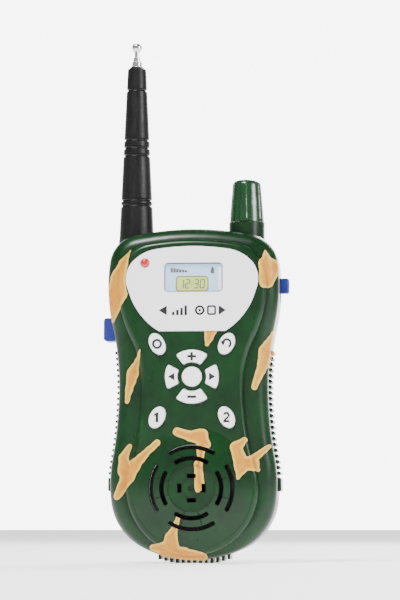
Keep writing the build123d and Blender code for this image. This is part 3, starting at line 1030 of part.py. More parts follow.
# ---- Belt clip ---------------------------------------------------------------------------------------------
BRACKET_Y = REAR_DEPTH + BRACKET_THICKNESS
BRACKET_HALF = CLIP_WIDTH / 2 + SWITCH_GAP + BRACKET_EAR
with BuildPart() as clip_bracket:
    slab((-BRACKET_HALF, BRACKET_HALF), (REAR_DEPTH, BRACKET_Y),
         (CLIP_PIVOT_Z - BRACKET_HEIGHT / 2, CLIP_PIVOT_Z + BRACKET_HEIGHT / 2))
    fillet(clip_bracket.edges().filter_by(Axis.Y), BRACKET_CORNER)
    for way in (-1, 1):
        ear = sorted((way * (BRACKET_HALF - BRACKET_EAR), way * BRACKET_HALF))
        slab(ear, (BRACKET_Y, CLIP_PIVOT_Y), (CLIP_PIVOT_Z - CLIP_EYE_RADIUS, CLIP_PIVOT_Z + CLIP_EYE_RADIUS))
        with Locations((sum(ear) / 2, CLIP_PIVOT_Y, CLIP_PIVOT_Z)):
            Cylinder(CLIP_EYE_RADIUS, BRACKET_EAR, rotation=(0, 90, 0))
    with Locations((0, CLIP_PIVOT_Y, CLIP_PIVOT_Z)):
        Cylinder(CLIP_PIN_RADIUS, 3 * CLIP_WIDTH, rotation=(0, 90, 0), mode=Mode.SUBTRACT)
    for x, z in CLIP_SCREWS:
        bar(SMALL_PILOT_RADIUS + FIT_GAP, x, z, 0, BRACKET_Y + 1, mode=Mode.SUBTRACT)
finish(clip_bracket.part, "clip_bracket")

with BuildPart() as clip_pin:
    with Locations((0, CLIP_PIVOT_Y, CLIP_PIVOT_Z)):
        Cylinder(CLIP_PIN_RADIUS, 2 * BRACKET_HALF, rotation=(0, 90, 0))
finish(clip_pin.part, "clip_pin")

EYE_WIDTH = CLIP_WIDTH / 6
with BuildPart() as belt_clip:
    slab((-CLIP_WIDTH / 2, CLIP_WIDTH / 2), (CLIP_Y, CLIP_Y + CLIP_THICKNESS), (CLIP_BOTTOM_Z, CLIP_TOP_Z))
    fillet(belt_clip.edges().filter_by(Axis.Y), CLIP_CORNER)
    fillet(belt_clip.faces().sort_by(Axis.Y)[-1].edges(), CLIP_THICKNESS / 4)
    slab((CLIP_CORNER - CLIP_WIDTH / 2, CLIP_WIDTH / 2 - CLIP_CORNER), (REAR_DEPTH + CLIP_TIP_GAP, CLIP_Y + 1),
         (CLIP_BOTTOM_Z, CLIP_BOTTOM_Z + CLIP_THICKNESS))
    for way in (-1, 1):
        eye = sorted((way * (CLIP_WIDTH / 2 - EYE_WIDTH), way * CLIP_WIDTH / 2))
        slab(eye, (CLIP_PIVOT_Y, CLIP_Y + 1), (CLIP_PIVOT_Z - CLIP_EYE_RADIUS, CLIP_PIVOT_Z + CLIP_EYE_RADIUS))
        with Locations((sum(eye) / 2, CLIP_PIVOT_Y, CLIP_PIVOT_Z)):
            Cylinder(CLIP_EYE_RADIUS, EYE_WIDTH, rotation=(0, 90, 0))
    with Locations((0, CLIP_PIVOT_Y, CLIP_PIVOT_Z)):
        Cylinder(CLIP_PIN_RADIUS + CLIP_PIN_GAP, 2 * CLIP_WIDTH, rotation=(0, 90, 0), mode=Mode.SUBTRACT)
        Cylinder(CLIP_EYE_RADIUS, CLIP_WIDTH - 2 * EYE_WIDTH, rotation=(0, 90, 0), mode=Mode.SUBTRACT)
finish(belt_clip.part, "belt_clip")


def coil(wire, radius, length, turns, start):
    """An open coil spring of round wire that lies along X from a starting point."""
    run = length - 2 * wire
    with BuildPart() as spring:
        with BuildLine():
            path = Helix(pitch=run / turns, height=run, radius=radius, center=(0, 0, wire))
        with BuildSketch(Plane(origin=path @ 0, z_dir=path % 0)):
            Circle(wire)
        sweep(path=path)
    return spring.part.moved(Location(start, (0, 90, 0)))


CLIP_SPRING_LENGTH = CLIP_WIDTH - 2 * EYE_WIDTH - 4 * CLIP_PIN_RADIUS
clip_spring = coil(SPRING_WIRE, CLIP_PIN_RADIUS + 2 * SPRING_WIRE, CLIP_SPRING_LENGTH, SPRING_TURNS + 2,
                   (-CLIP_SPRING_LENGTH / 2, CLIP_PIVOT_Y, CLIP_PIVOT_Z))
finish(clip_spring, "clip_spring")

TALK_SPRING_LENGTH = TALK_STEM_LENGTH + TALK_TRAVEL + SWITCH_GAP
talk_spring = coil(SPRING_WIRE, TALK_STEM_RADIUS + 2.4 * SPRING_WIRE, TALK_SPRING_LENGTH, SPRING_TURNS,
                   (TALK_FLANGE_THICKNESS - TALK_FLANGE_X, SWITCH_Y, TALK_Z))
finish(talk_spring, "talk_spring")

# ---- Screws ------------------------------------------------------------------------------------------------
case_screw = screw(SCREW_RADIUS, CASE_SCREW_LENGTH, HEAD_RADIUS, HEAD_HEIGHT)
board_screw = screw(SMALL_SCREW_RADIUS, BOARD_THICKNESS + BOARD_SCREW_GRIP, SMALL_HEAD_RADIUS, SMALL_HEAD_HEIGHT)
clamp_screw = screw(SMALL_SCREW_RADIUS, CLAMP_SCREW_LENGTH, SMALL_HEAD_RADIUS, SMALL_HEAD_HEIGHT)
clip_screw = screw(SMALL_SCREW_RADIUS, CLIP_SCREW_LENGTH, SMALL_HEAD_RADIUS, SMALL_HEAD_HEIGHT)
long_screw = screw(SMALL_SCREW_RADIUS, AERIAL_FOOT[1] + AERIAL_SCREW_GRIP, SMALL_HEAD_RADIUS, SMALL_HEAD_HEIGHT)

with BuildPart() as case_screws:
    with Locations([(x, CASE_SCREW_SEAT, z) for x, z in CASE_SCREWS]):
        add(case_screw)
finish(case_screws.part, "case_screws")

with BuildPart() as board_screws:
    with Locations([(x, BOARD_BACK_Y, z) for x, z in BOARD_SCREWS]):
        add(board_screw)
finish(board_screws.part, "board_screws")

with BuildPart() as speaker_screws:
    with Locations([(x, CLAMP_Y + CLAMP_THICKNESS, z) for x, z in CLAMP_POINTS]):
        add(clamp_screw)
finish(speaker_screws.part, "speaker_screws")

with BuildPart() as clip_screws:
    with Locations([(x, BRACKET_Y, z) for x, z in CLIP_SCREWS]):
        add(clip_screw)
finish(clip_screws.part, "clip_screws")

with BuildPart() as aerial_screw:
    with Locations(Location((AERIAL_X, TOP_GEAR_Y - AERIAL_FOOT[1] / 2, AERIAL_SCREW_Z), (0, 0, 180))):
        add(long_screw)
finish(aerial_screw.part, "aerial_screw")
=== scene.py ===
"""Looks of a toy walkie talkie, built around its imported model. Metres; x right, -y out of the front, z up."""

import json
import math

import bmesh
import bpy
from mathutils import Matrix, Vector


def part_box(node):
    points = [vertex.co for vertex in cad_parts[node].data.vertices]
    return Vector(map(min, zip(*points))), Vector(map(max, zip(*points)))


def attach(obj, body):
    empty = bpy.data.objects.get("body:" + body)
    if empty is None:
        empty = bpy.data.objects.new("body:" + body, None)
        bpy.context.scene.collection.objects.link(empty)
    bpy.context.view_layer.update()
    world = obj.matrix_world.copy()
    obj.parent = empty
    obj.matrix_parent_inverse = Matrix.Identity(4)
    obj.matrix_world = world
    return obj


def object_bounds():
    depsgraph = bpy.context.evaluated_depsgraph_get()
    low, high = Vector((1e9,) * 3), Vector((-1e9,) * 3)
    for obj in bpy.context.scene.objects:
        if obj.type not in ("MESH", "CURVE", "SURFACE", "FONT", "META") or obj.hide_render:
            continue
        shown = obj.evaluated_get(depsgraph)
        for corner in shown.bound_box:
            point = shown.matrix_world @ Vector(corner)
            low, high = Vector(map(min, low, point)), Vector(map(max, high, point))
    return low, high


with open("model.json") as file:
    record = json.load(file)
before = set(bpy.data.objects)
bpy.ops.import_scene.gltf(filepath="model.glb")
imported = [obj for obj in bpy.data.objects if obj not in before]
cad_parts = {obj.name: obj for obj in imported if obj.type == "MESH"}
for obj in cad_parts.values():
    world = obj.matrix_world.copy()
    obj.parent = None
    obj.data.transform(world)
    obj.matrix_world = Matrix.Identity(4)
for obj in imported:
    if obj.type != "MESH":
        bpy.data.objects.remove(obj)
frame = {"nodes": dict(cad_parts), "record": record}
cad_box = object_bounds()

MM = 0.001
TO_MM = 1000.0


# ---- Node helpers --------------------------------------------------------------------------------------

def plug(tree, value, socket):
    """Sets a socket from another socket, a number or a tuple."""
    if isinstance(value, bpy.types.NodeSocket):
        tree.links.new(value, socket)
    elif value is not None:
        socket.default_value = value


def calc(tree, operation, a, b=None, c=None):
    """A Math node's result."""
    node = tree.nodes.new("ShaderNodeMath")
    node.operation = operation
    for value, socket in zip((a, b, c), node.inputs):
        plug(tree, value, socket)
    return node.outputs[0]


def vector(tree, operation, a, b=None, scale=None):
    """A Vector Math node's result."""
    node = tree.nodes.new("ShaderNodeVectorMath")
    node.operation = operation
    plug(tree, a, node.inputs[0])
    plug(tree, b, node.inputs[1])
    plug(tree, scale, node.inputs[3])
    return node.outputs[1 if operation in ("DISTANCE", "DOT_PRODUCT", "LENGTH") else 0]


def place(tree, stretch=(1.0, 1.0, 1.0)):
    """The surface point in millimetres of the object's own space, stretched along each axis."""
    node = tree.nodes.new("ShaderNodeTexCoord")
    return vector(tree, "MULTIPLY", node.outputs["Object"], tuple(TO_MM * s for s in stretch))


def noise(tree, point, per_mm, detail=3.0, rough=0.55):
    """A noise value with a size given as cycles in a millimetre."""
    node = tree.nodes.new("ShaderNodeTexNoise")
    plug(tree, point, node.inputs["Vector"])
    node.inputs["Scale"].default_value = per_mm
    node.inputs["Detail"].default_value = detail
    node.inputs["Roughness"].default_value = rough
    return node.outputs["Fac"]


def cells(tree, point, per_mm):
    """A Voronoi distance with a size given as cycles in a millimetre."""
    node = tree.nodes.new("ShaderNodeTexVoronoi")
    plug(tree, point, node.inputs["Vector"])
    node.inputs["Scale"].default_value = per_mm
    return node.outputs["Distance"]


def spread(tree, value, low, high, to_low, to_high):
    """A value moved from one range to another and kept inside it."""
    node = tree.nodes.new("ShaderNodeMapRange")
    for amount, socket in zip((value, low, high, to_low, to_high), node.inputs):
        plug(tree, amount, socket)
    return node.outputs[0]


def blend(tree, factor, a, b):
    """A mix of two colours."""
    node = tree.nodes.new("ShaderNodeMix")
    node.data_type = "RGBA"
    plug(tree, factor, node.inputs[0])
    plug(tree, a, node.inputs[6])
    plug(tree, b, node.inputs[7])
    return node.outputs[2]


def srgb(red, green, blue):
    """A linear colour from display values of 0 to 255."""
    parts = [value / 255 for value in (red, green, blue)]
    linear = [part / 12.92 if part <= 0.04045 else ((part + 0.055) / 1.055) ** 2.4 for part in parts]
    return (*linear, 1.0)


def scaled(colour, amount):
    """A lighter or darker colour."""
    return (*(min(1.0, part * amount) for part in colour[:3]), 1.0)


def bumped(tree, shader, height, depth_mm):
    """Joins a height to the shader's normal."""
    node = tree.nodes.new("ShaderNodeBump")
    node.inputs["Strength"].default_value = 1.0
    node.inputs["Distance"].default_value = depth_mm * MM
    plug(tree, height, node.inputs["Height"])
    tree.links.new(node.outputs["Normal"], shader.inputs["Normal"])


def material(name, **settings):
    """A new principled material with the settings that are the same all over it."""
    made = bpy.data.materials.new(name)
    made.use_nodes = True
    shader = made.node_tree.nodes["Principled BSDF"]
    for key, value in settings.items():
        shader.inputs[key.replace("_", " ")].default_value = value
    return made, made.node_tree, shader


def moulded(name, colour, rough, grain=0.006, mottle=0.08, **settings):
    """Moulded plastic: faint flow mottle, fine surface grain and handling marks in its gloss."""
    made, tree, shader = material(name, **settings)
    point = place(tree)
    flow = spread(tree, noise(tree, point, 0.09, 3.0), 0.3, 0.7, 0.0, 1.0)
    plug(tree, blend(tree, flow, scaled(colour, 1 - mottle), scaled(colour, 1 + mottle)), shader.inputs["Base Color"])
    marks = noise(tree, vector(tree, "MULTIPLY", point, (1.0, 1.0, 0.25)), 0.6, 5.0, 0.7)
    plug(tree, spread(tree, marks, 0.3, 0.75, rough * 0.85, rough * 1.25), shader.inputs["Roughness"])
    bumped(tree, shader, noise(tree, point, 2.2, 4.0), grain)
    return made


def metal(name, colour, rough, brush=(6.0, 6.0, 0.15), bump=0.003, stain=0.12):
    """Brushed or drawn metal: fine lines along one direction, with a little tarnish."""
    made, tree, shader = material(name, Metallic=1.0)
    lines = noise(tree, place(tree, brush), 0.9, 4.0, 0.6)
    tarnish = spread(tree, noise(tree, place(tree), 0.25, 4.0), 0.45, 0.8, 0.0, 1.0)
    plug(tree, blend(tree, tarnish, colour, scaled(colour, 1 - stain * 2)), shader.inputs["Base Color"])
    plug(tree, spread(tree, lines, 0.25, 0.75, rough * 0.75, rough * 1.35), shader.inputs["Roughness"])
    bumped(tree, shader, lines, bump)
    return made


# ---- Camouflage --------------------------------------------------------------------------------------------
# Each stroke is a run of points (x, z, half width) in millimetres; the brush tapers from one to the next.

FRONT_STROKES = [
    [(-25.5, 127.2, 0.3), (-28.1, 122.0, 2.0), (-30.4, 116.0, 3.4), (-31.0, 109.5, 4.4), (-33.6, 99.5, 1.8)],
    [(29.6, 126.8, 0.35), (30.3, 121.5, 3.1), (33.0, 120.0, 3.0), (30.6, 114.0, 2.4)],
    [(30.3, 120.0, 3.0), (29.4, 113.6, 2.0)],
    [(34.8, 97.0, 0.3), (31.8, 90.5, 1.5), (29.8, 86.0, 2.8), (28.6, 80.5, 2.1), (25.2, 71.3, 1.2)],
    [(7.8, 95.5, 3.1), (6.9, 91.0, 1.7), (6.2, 88.6, 0.8)],
    [(-21.2, 86.2, 0.5), (-22.6, 81.8, 1.0), (-24.4, 77.0, 2.4), (-26.0, 70.5, 1.6), (-26.8, 65.5, 0.9)],
    [(-5.9, 53.1, 1.7), (-0.8, 51.3, 2.0), (3.6, 50.8, 3.0), (6.3, 47.8, 1.5)],
    [(1.6, 52.0, 1.8), (4.4, 52.2, 2.1)],
    [(4.0, 47.0, 2.2), (3.6, 43.0, 1.35), (2.8, 39.5, 1.7), (3.1, 35.0, 1.75), (3.4, 31.4, 1.9), (2.6, 29.4, 0.9)],
    [(-14.1, 48.6, 1.4), (-19.0, 44.2, 1.5), (-23.3, 39.6, 2.5), (-26.0, 35.5, 3.0), (-30.8, 27.0, 1.5)],
    [(-25.6, 47.3, 1.0), (-28.2, 42.5, 1.9), (-27.5, 37.5, 3.2)],
    [(21.3, 49.6, 1.2), (17.9, 46.6, 2.3), (19.4, 42.6, 2.6), (20.0, 38.5, 2.6), (18.7, 34.2, 0.6)],
    [(20.0, 40.4, 2.9), (24.3, 40.2, 2.9), (26.6, 37.8, 0.9)],
    [(24.6, 42.0, 1.7), (31.2, 47.2, 0.8)],
    [(-5.4, 18.4, 0.8), (-6.9, 13.8, 1.3), (-8.3, 10.2, 2.6), (-8.5, 6.0, 3.6), (-16.3, 6.2, 1.3)],
    [(-12.0, 4.6, 2.4), (-4.0, 4.0, 2.6), (4.0, 2.6, 1.9)],
]
BACK_STROKES = [
    [(-26.0, 120.0, 1.0), (-20.0, 114.0, 3.2), (-22.0, 106.0, 2.2), (-27.0, 98.0, 0.8)],
    [(17.0, 128.0, 1.2), (22.0, 121.0, 3.4), (27.0, 115.0, 1.6)],
    [(14.0, 101.0, 1.0), (19.0, 94.0, 2.8), (25.0, 91.0, 2.0), (31.0, 84.0, 0.6)],
    [(-16.0, 88.0, 0.8), (-22.0, 80.0, 2.6), (-20.0, 72.0, 1.4)],
    [(4.0, 73.0, 1.0), (9.0, 66.0, 2.6), (15.0, 67.0, 1.0)],
    [(-12.0, 60.0, 1.0), (-6.0, 53.0, 3.0), (-9.0, 44.0, 2.0), (-5.0, 37.0, 0.8)],
    [(20.0, 55.0, 1.0), (24.0, 47.0, 2.8), (29.0, 42.0, 1.2)],
    [(-29.0, 46.0, 0.8), (-24.0, 38.0, 2.8), (-26.0, 29.0, 1.0)],
    [(6.0, 32.0, 0.8), (11.0, 25.0, 2.8), (8.0, 16.0, 2.0), (13.0, 10.0, 0.8)],
    [(-16.0, 20.0, 1.0), (-11.0, 13.0, 2.6), (-4.0, 9.0, 1.2)],
]


STROKE_MERGE = 0.9  # how far strokes that meet flow into each other, in millimetres


def stroke_field(name, strokes):
    """A node group that gives the distance, in millimetres, from a point to the nearest stroke's edge."""
    group = bpy.data.node_groups.new(name, "ShaderNodeTree")
    group.interface.new_socket("Point", in_out="INPUT", socket_type="NodeSocketVector")
    group.interface.new_socket("Distance", in_out="OUTPUT", socket_type="NodeSocketFloat")
    point = group.nodes.new("NodeGroupInput").outputs[0]
    nearest = None
    for stroke in strokes:
        for (x, z, size), (next_x, next_z, next_size) in zip(stroke, stroke[1:]):
            run = Vector((next_x - x, 0.0, next_z - z))
            offset = vector(group, "SUBTRACT", point, (x, 0.0, z))
            along = vector(group, "DOT_PRODUCT", offset, tuple(run / run.length_squared))
            share = calc(group, "MINIMUM", calc(group, "MAXIMUM", along, 0.0), 1.0)
            away = vector(group, "DISTANCE", offset, vector(group, "SCALE", tuple(run), None, share))
            edge = calc(group, "SUBTRACT", away, calc(group, "MULTIPLY_ADD", share, next_size - size, size))
            nearest = edge if nearest is None else calc(group, "SMOOTH_MIN", nearest, edge, STROKE_MERGE)
    group.links.new(nearest, group.nodes.new("NodeGroupOutput").inputs[0])
    return group


FRONT_FIELD = stroke_field("front_strokes", FRONT_STROKES)
BACK_FIELD = stroke_field("back_strokes", BACK_STROKES)


# depths over which the strokes of the front and of the back fade out, and how far they shrink there
FRONT_REACH = (2.0, 12.0)
BACK_REACH = (-18.0, -8.0)
STROKE_SHRINK = 8.0


def field(tree, group, flat_point, depth, reach):
    """The distance to a group's strokes, fading out away from one side of the casing."""
    node = tree.nodes.new("ShaderNodeGroup")
    node.node_tree = group
    tree.links.new(flat_point, node.inputs[0])
    return calc(tree, "ADD", node.outputs[0], spread(tree, depth, *reach, 0.0, STROKE_SHRINK))


def camouflage(name):
    """Green casing plastic with sprayed tan patches, their pale rims and dark fringes."""
    made, tree, shader = material(name, Coat_Weight=0.12, Coat_Roughness=0.2, Specular_IOR_Level=0.25)
    point = place(tree)
    split = tree.nodes.new("ShaderNodeSeparateXYZ")
    tree.links.new(point, split.inputs[0])
    wobble = spread(tree, noise(tree, point, 0.35, 3.0), 0.0, 1.0, -0.45, 0.45)
    flat = vector(tree, "MULTIPLY", point, (1.0, 0.0, 1.0))
    distance = field(tree, FRONT_FIELD, flat, split.outputs[1], FRONT_REACH)
    behind = calc(tree, "MULTIPLY", split.outputs[1], -1.0)
    distance = calc(tree, "MINIMUM", distance, field(tree, BACK_FIELD, flat, behind, BACK_REACH))
    distance = calc(tree, "ADD", distance, wobble)
    speck = noise(tree, point, 1.6, 4.0, 0.7)
    flow = spread(tree, noise(tree, point, 0.07, 3.0), 0.3, 0.7, 0.0, 1.0)
    green = blend(tree, flow, GREEN_DARK, GREEN_LIGHT)
    green = blend(tree, spread(tree, speck, 0.62, 0.8, 0.0, 0.25), green, scaled(GREEN_LIGHT, 1.5))
    green = blend(tree, spread(tree, distance, 0.0, 1.0, 0.9, 0.0), green, FRINGE)
    sand = blend(tree, spread(tree, noise(tree, point, 0.3, 4.0), 0.3, 0.7, 0.0, 1.0), TAN_DEEP, TAN_LIGHT)
    sand = blend(tree, spread(tree, speck, 0.55, 0.8, 0.0, 0.35), sand, TAN_DEEP)
    sand = blend(tree, spread(tree, distance, -1.3, -0.15, 0.0, 0.85), sand, RIM)
    paint = spread(tree, distance, -0.14, 0.1, 1.0, 0.0)
    plug(tree, blend(tree, paint, green, sand), shader.inputs["Base Color"])
    scuff = noise(tree, vector(tree, "MULTIPLY", point, (1.0, 1.0, 0.3)), 0.5, 6.0, 0.7)
    gloss = spread(tree, scuff, 0.3, 0.75, 0.26, 0.42)
    plug(tree, calc(tree, "MULTIPLY_ADD", paint, 0.12, gloss), shader.inputs["Roughness"])
    grain = noise(tree, point, 1.8, 4.0)
    height = calc(tree, "MULTIPLY_ADD", paint, 0.5, grain)
    bumped(tree, shader, height, 0.008)
    return made


GREEN_DARK = srgb(0, 30, 7)
GREEN_LIGHT = srgb(1, 48, 12)
FRINGE = srgb(0, 12, 2)
TAN_LIGHT = srgb(200, 140, 40)
TAN_DEEP = srgb(178, 114, 22)
RIM = srgb(214, 186, 82)
INK = srgb(10, 9, 12)


def ink(name, colour, rough=0.5):
    """Printed ink, slightly uneven where it was laid on; also used for the painted shadow line in the window."""
    made, tree, shader = material(name)
    cover = noise(tree, place(tree), 3.0, 3.0)
    plug(tree, blend(tree, spread(tree, cover, 0.55, 0.8, 0.0, 0.5), colour, scaled(colour, 1.7)),
         shader.inputs["Base Color"])
    plug(tree, spread(tree, cover, 0.3, 0.7, rough * 0.8, rough * 1.2), shader.inputs["Roughness"])
    bumped(tree, shader, cover, 0.004)
    return made


def lamp_material():
    """Tinted lamp plastic with a hot core and faint swirls."""
    made, tree, shader = material("lamp_red", Coat_Weight=1.0, Coat_Roughness=0.06, Subsurface_Weight=0.3,
                                  Subsurface_Scale=0.001)
    swirl = noise(tree, place(tree), 0.7, 3.0)
    plug(tree, blend(tree, swirl, srgb(160, 6, 10), srgb(206, 20, 22)), shader.inputs["Base Color"])
    plug(tree, spread(tree, swirl, 0.3, 0.7, 0.14, 0.24), shader.inputs["Roughness"])
    bumped(tree, shader, noise(tree, place(tree), 1.5), 0.01)
    return made


def window_material():
    """Clear moulded window with faint wipe marks."""
    made, tree, shader = material("window_clear", Alpha=0.09, IOR=1.46)
    wipe = noise(tree, place(tree, (0.3, 1.0, 1.5)), 0.8, 5.0, 0.7)
    plug(tree, spread(tree, wipe, 0.5, 0.8, 0.015, 0.07), shader.inputs["Roughness"])
    plug(tree, blend(tree, wipe, srgb(244, 250, 255), srgb(255, 255, 255)), shader.inputs["Base Color"])
    bumped(tree, shader, wipe, 0.002)
    return made


def display_material():
    """Yellow-green display with a faint dot grid and darker edges."""
    made, tree, shader = material("display_green", Coat_Weight=0.6, Coat_Roughness=0.08)
    point = place(tree)
    grid = tree.nodes.new("ShaderNodeTexWave")
    grid.bands_direction = "DIAGONAL"
    grid.inputs["Scale"].default_value = 3.0
    tree.links.new(point, grid.inputs["Vector"])
    cloud = noise(tree, point, 0.2, 2.0)
    base = blend(tree, cloud, srgb(184, 200, 44), srgb(200, 214, 66))
    plug(tree, blend(tree, calc(tree, "MULTIPLY", grid.outputs["Fac"], 0.08), base, srgb(120, 140, 50)),
         shader.inputs["Base Color"])
    plug(tree, spread(tree, cloud, 0.3, 0.7, 0.2, 0.3), shader.inputs["Roughness"])
    bumped(tree, shader, grid.outputs["Fac"], 0.003)
    return made


def board_material():
    """Brown laminate with a green mask, copper runs and solder pads."""
    made, tree, shader = material("board_laminate", Coat_Weight=0.3, Coat_Roughness=0.2)
    point = place(tree)
    runs = tree.nodes.new("ShaderNodeTexBrick")
    tree.links.new(point, runs.inputs["Vector"])
    runs.inputs["Scale"].default_value = 0.22
    runs.inputs["Mortar Size"].default_value = 0.06
    runs.inputs["Color1"].default_value = srgb(30, 92, 52)
    runs.inputs["Color2"].default_value = srgb(36, 100, 58)
    runs.inputs["Mortar"].default_value = srgb(84, 142, 84)
    pads = spread(tree, cells(tree, point, 0.35), 0.12, 0.16, 1.0, 0.0)
    weave = noise(tree, point, 2.0, 3.0)
    base = blend(tree, spread(tree, weave, 0.4, 0.8, 0.0, 0.3), runs.outputs["Color"], srgb(24, 70, 42))
    plug(tree, blend(tree, pads, base, srgb(196, 196, 190)), shader.inputs["Base Color"])
    plug(tree, pads, shader.inputs["Metallic"])
    plug(tree, spread(tree, weave, 0.3, 0.7, 0.3, 0.45), shader.inputs["Roughness"])
    bumped(tree, shader, calc(tree, "ADD", pads, weave), 0.03)
    return made


def fibrous(name, colour, scale, depth, rough=0.85):
    """Foam, paper or rubber: broken cells over a soft body."""
    made, tree, shader = material(name, Sheen_Weight=0.15)
    point = place(tree)
    pores = cells(tree, point, scale)
    fibre = noise(tree, point, scale * 2.0, 5.0, 0.7)
    plug(tree, blend(tree, pores, scaled(colour, 0.6), scaled(colour, 1.5)), shader.inputs["Base Color"])
    plug(tree, spread(tree, fibre, 0.3, 0.7, rough * 0.9, min(1.0, rough * 1.1)), shader.inputs["Roughness"])
    bumped(tree, shader, calc(tree, "ADD", pores, fibre), depth)
    return made


def battery_material():
    """A plain block battery: dark jacket with a copper-coloured band and bare steel terminals."""
    low, high = (corner.z * TO_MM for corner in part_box("battery"))
    made, tree, shader = material("battery_jacket", Coat_Weight=0.4, Coat_Roughness=0.15)
    point = place(tree)
    split = tree.nodes.new("ShaderNodeSeparateXYZ")
    tree.links.new(point, split.inputs[0])
    height = split.outputs[2]
    band = spread(tree, height, low + 33.0, low + 33.2, 0.0, 1.0)
    ends = calc(tree, "GREATER_THAN", height, high - 3.2)
    cloud = noise(tree, point, 0.6, 4.0)
    jacket = blend(tree, band, srgb(28, 28, 34), srgb(176, 112, 62))
    jacket = blend(tree, spread(tree, cloud, 0.4, 0.8, 0.0, 0.3), jacket, srgb(60, 60, 64))
    plug(tree, blend(tree, ends, jacket, srgb(190, 190, 186)), shader.inputs["Base Color"])
    plug(tree, ends, shader.inputs["Metallic"])
    plug(tree, spread(tree, cloud, 0.3, 0.7, 0.24, 0.38), shader.inputs["Roughness"])
    bumped(tree, shader, cloud, 0.01)
    return made


MATERIALS = {
    "casing": camouflage("casing_green"),
    "panel": moulded("panel_white", srgb(244, 240, 246), 0.34, 0.004, 0.012),
    "window": window_material(),
    "lcd": display_material(),
    "card": moulded("card_blue", srgb(168, 204, 230), 0.45, 0.004, 0.03),
    "lamp": lamp_material(),
    "key": moulded("key_white", srgb(246, 246, 248), 0.36, 0.006, 0.015, Subsurface_Weight=0.05,
                   Subsurface_Scale=0.0006),
    "mat": fibrous("silicone_grey", srgb(150, 152, 158), 1.2, 0.01, 0.6),
    "board": board_material(),
    "chip": moulded("epoxy_black", srgb(30, 30, 33), 0.55, 0.02),
    "capacitor": moulded("sleeve_blue", srgb(34, 44, 92), 0.3, 0.006),
    "can": metal("tinned_can", srgb(190, 190, 184), 0.3),
    "foam": fibrous("foam_black", srgb(36, 36, 38), 1.6, 0.12),
    "steel": metal("plated_steel", srgb(184, 184, 182), 0.3, (4.0, 4.0, 4.0)),
    "magnet": fibrous("ferrite", srgb(52, 52, 56), 0.8, 0.02, 0.7),
    "paper": fibrous("cone_paper", srgb(30, 30, 31), 0.9, 0.05),
    "battery": battery_material(),
    "snap": moulded("vinyl_black", srgb(26, 26, 28), 0.4, 0.02),
    "black_plastic": moulded("plastic_black", srgb(30, 30, 32), 0.42, 0.012),
    "sleeve": moulded("sleeve_black", srgb(4, 4, 5), 0.42, 0.01, 0.2, Specular_IOR_Level=0.3),
    "chrome": metal("chrome", srgb(214, 214, 216), 0.14, (2.0, 2.0, 0.05), 0.0002, 0.04),
    "knob": moulded("knob_green", srgb(2, 48, 16), 0.26, 0.006, 0.12, Coat_Weight=0.3, Coat_Roughness=0.15),
    "blue": moulded("button_blue", srgb(16, 30, 118), 0.34, 0.008, 0.1, Coat_Weight=0.15, Coat_Roughness=0.2),
    "spring": metal("spring_wire", srgb(176, 176, 172), 0.26, (3.0, 3.0, 3.0)),
    "screw": metal("zinc_screw", srgb(186, 182, 168), 0.34, (3.0, 3.0, 3.0)),
}

SLOTS = {entry["node"]: entry["material_slot"] for entry in frame["record"]["subparts"]}
for node_name, node in frame["nodes"].items():
    node.data.materials.clear()
    node.data.materials.append(MATERIALS[SLOTS[node_name]])


# ---- Printed marks -------------------------------------------------------------------------------------------

def mark(name, shapes, face_y, body, slot, made, proud=0.04, sunk=0.06):
    """A thin printed layer: closed outlines in x and z, in millimetres, on a face at a depth."""
    mesh = bmesh.new()
    for outline in shapes:
        corners = [mesh.verts.new((x * MM, (face_y - proud) * MM, z * MM)) for x, z in outline]
        face = mesh.faces.new(corners)
        face.normal_update()
        if face.normal.y > 0:
            face.normal_flip()
        bmesh.ops.extrude_face_region(mesh, geom=[face])
        bmesh.ops.translate(mesh, vec=(0.0, (proud + sunk) * MM, 0.0), verts=corners)
    bmesh.ops.recalc_face_normals(mesh, faces=mesh.faces)
    data = bpy.data.meshes.new(name)
    mesh.to_mesh(data)
    mesh.free()
    piece = bpy.data.objects.new(name, data)
    bpy.context.scene.collection.objects.link(piece)
    data.materials.append(made)
    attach(piece, body)
    return piece


def disc(centre, radius, steps=40):
    """A round outline."""
    turns = [2 * math.pi * i / steps for i in range(steps)]
    return [(centre[0] + radius * math.cos(turn), centre[1] + radius * math.sin(turn)) for turn in turns]


def arc_band(centre, inner, outer, start, stop, steps=24):
    """A band along an arc, in degrees, as a row of four-sided outlines."""
    turns = [math.radians(start + (stop - start) * i / steps) for i in range(steps + 1)]
    ring = [[(centre[0] + radius * math.cos(turn), centre[1] + radius * math.sin(turn)) for turn in turns]
            for radius in (inner, outer)]
    return [ring[0] + ring[1][::-1]] if abs(stop - start) < 359 else [
        [ring[0][i], ring[0][i + 1], ring[1][i + 1], ring[1][i]] for i in range(steps)]


def block(centre, width, height):
    """A square-cornered outline."""
    x, z = centre
    return [(x - width / 2, z - height / 2), (x + width / 2, z - height / 2),
            (x + width / 2, z + height / 2), (x - width / 2, z + height / 2)]


def rounded(centre, width, height, corner, steps=6):
    """A rectangle with rounded corners."""
    points = []
    for turn, (way_x, way_z) in enumerate(((1, 1), (-1, 1), (-1, -1), (1, -1))):
        middle = (centre[0] + way_x * (width / 2 - corner), centre[1] + way_z * (height / 2 - corner))
        for i in range(steps + 1):
            angle = math.radians(90 * turn + 90 * i / steps)
            points.append((middle[0] + corner * math.cos(angle), middle[1] + corner * math.sin(angle)))
    return points


def border(centre, width, height, corner, line):
    """The line round a rounded rectangle, as a row of four-sided outlines."""
    outer = rounded(centre, width, height, corner)
    inner = rounded(centre, width - 2 * line, height - 2 * line, max(corner - line, 0.05))
    count = len(outer)
    return [[outer[i], outer[(i + 1) % count], inner[(i + 1) % count], inner[i]] for i in range(count)]


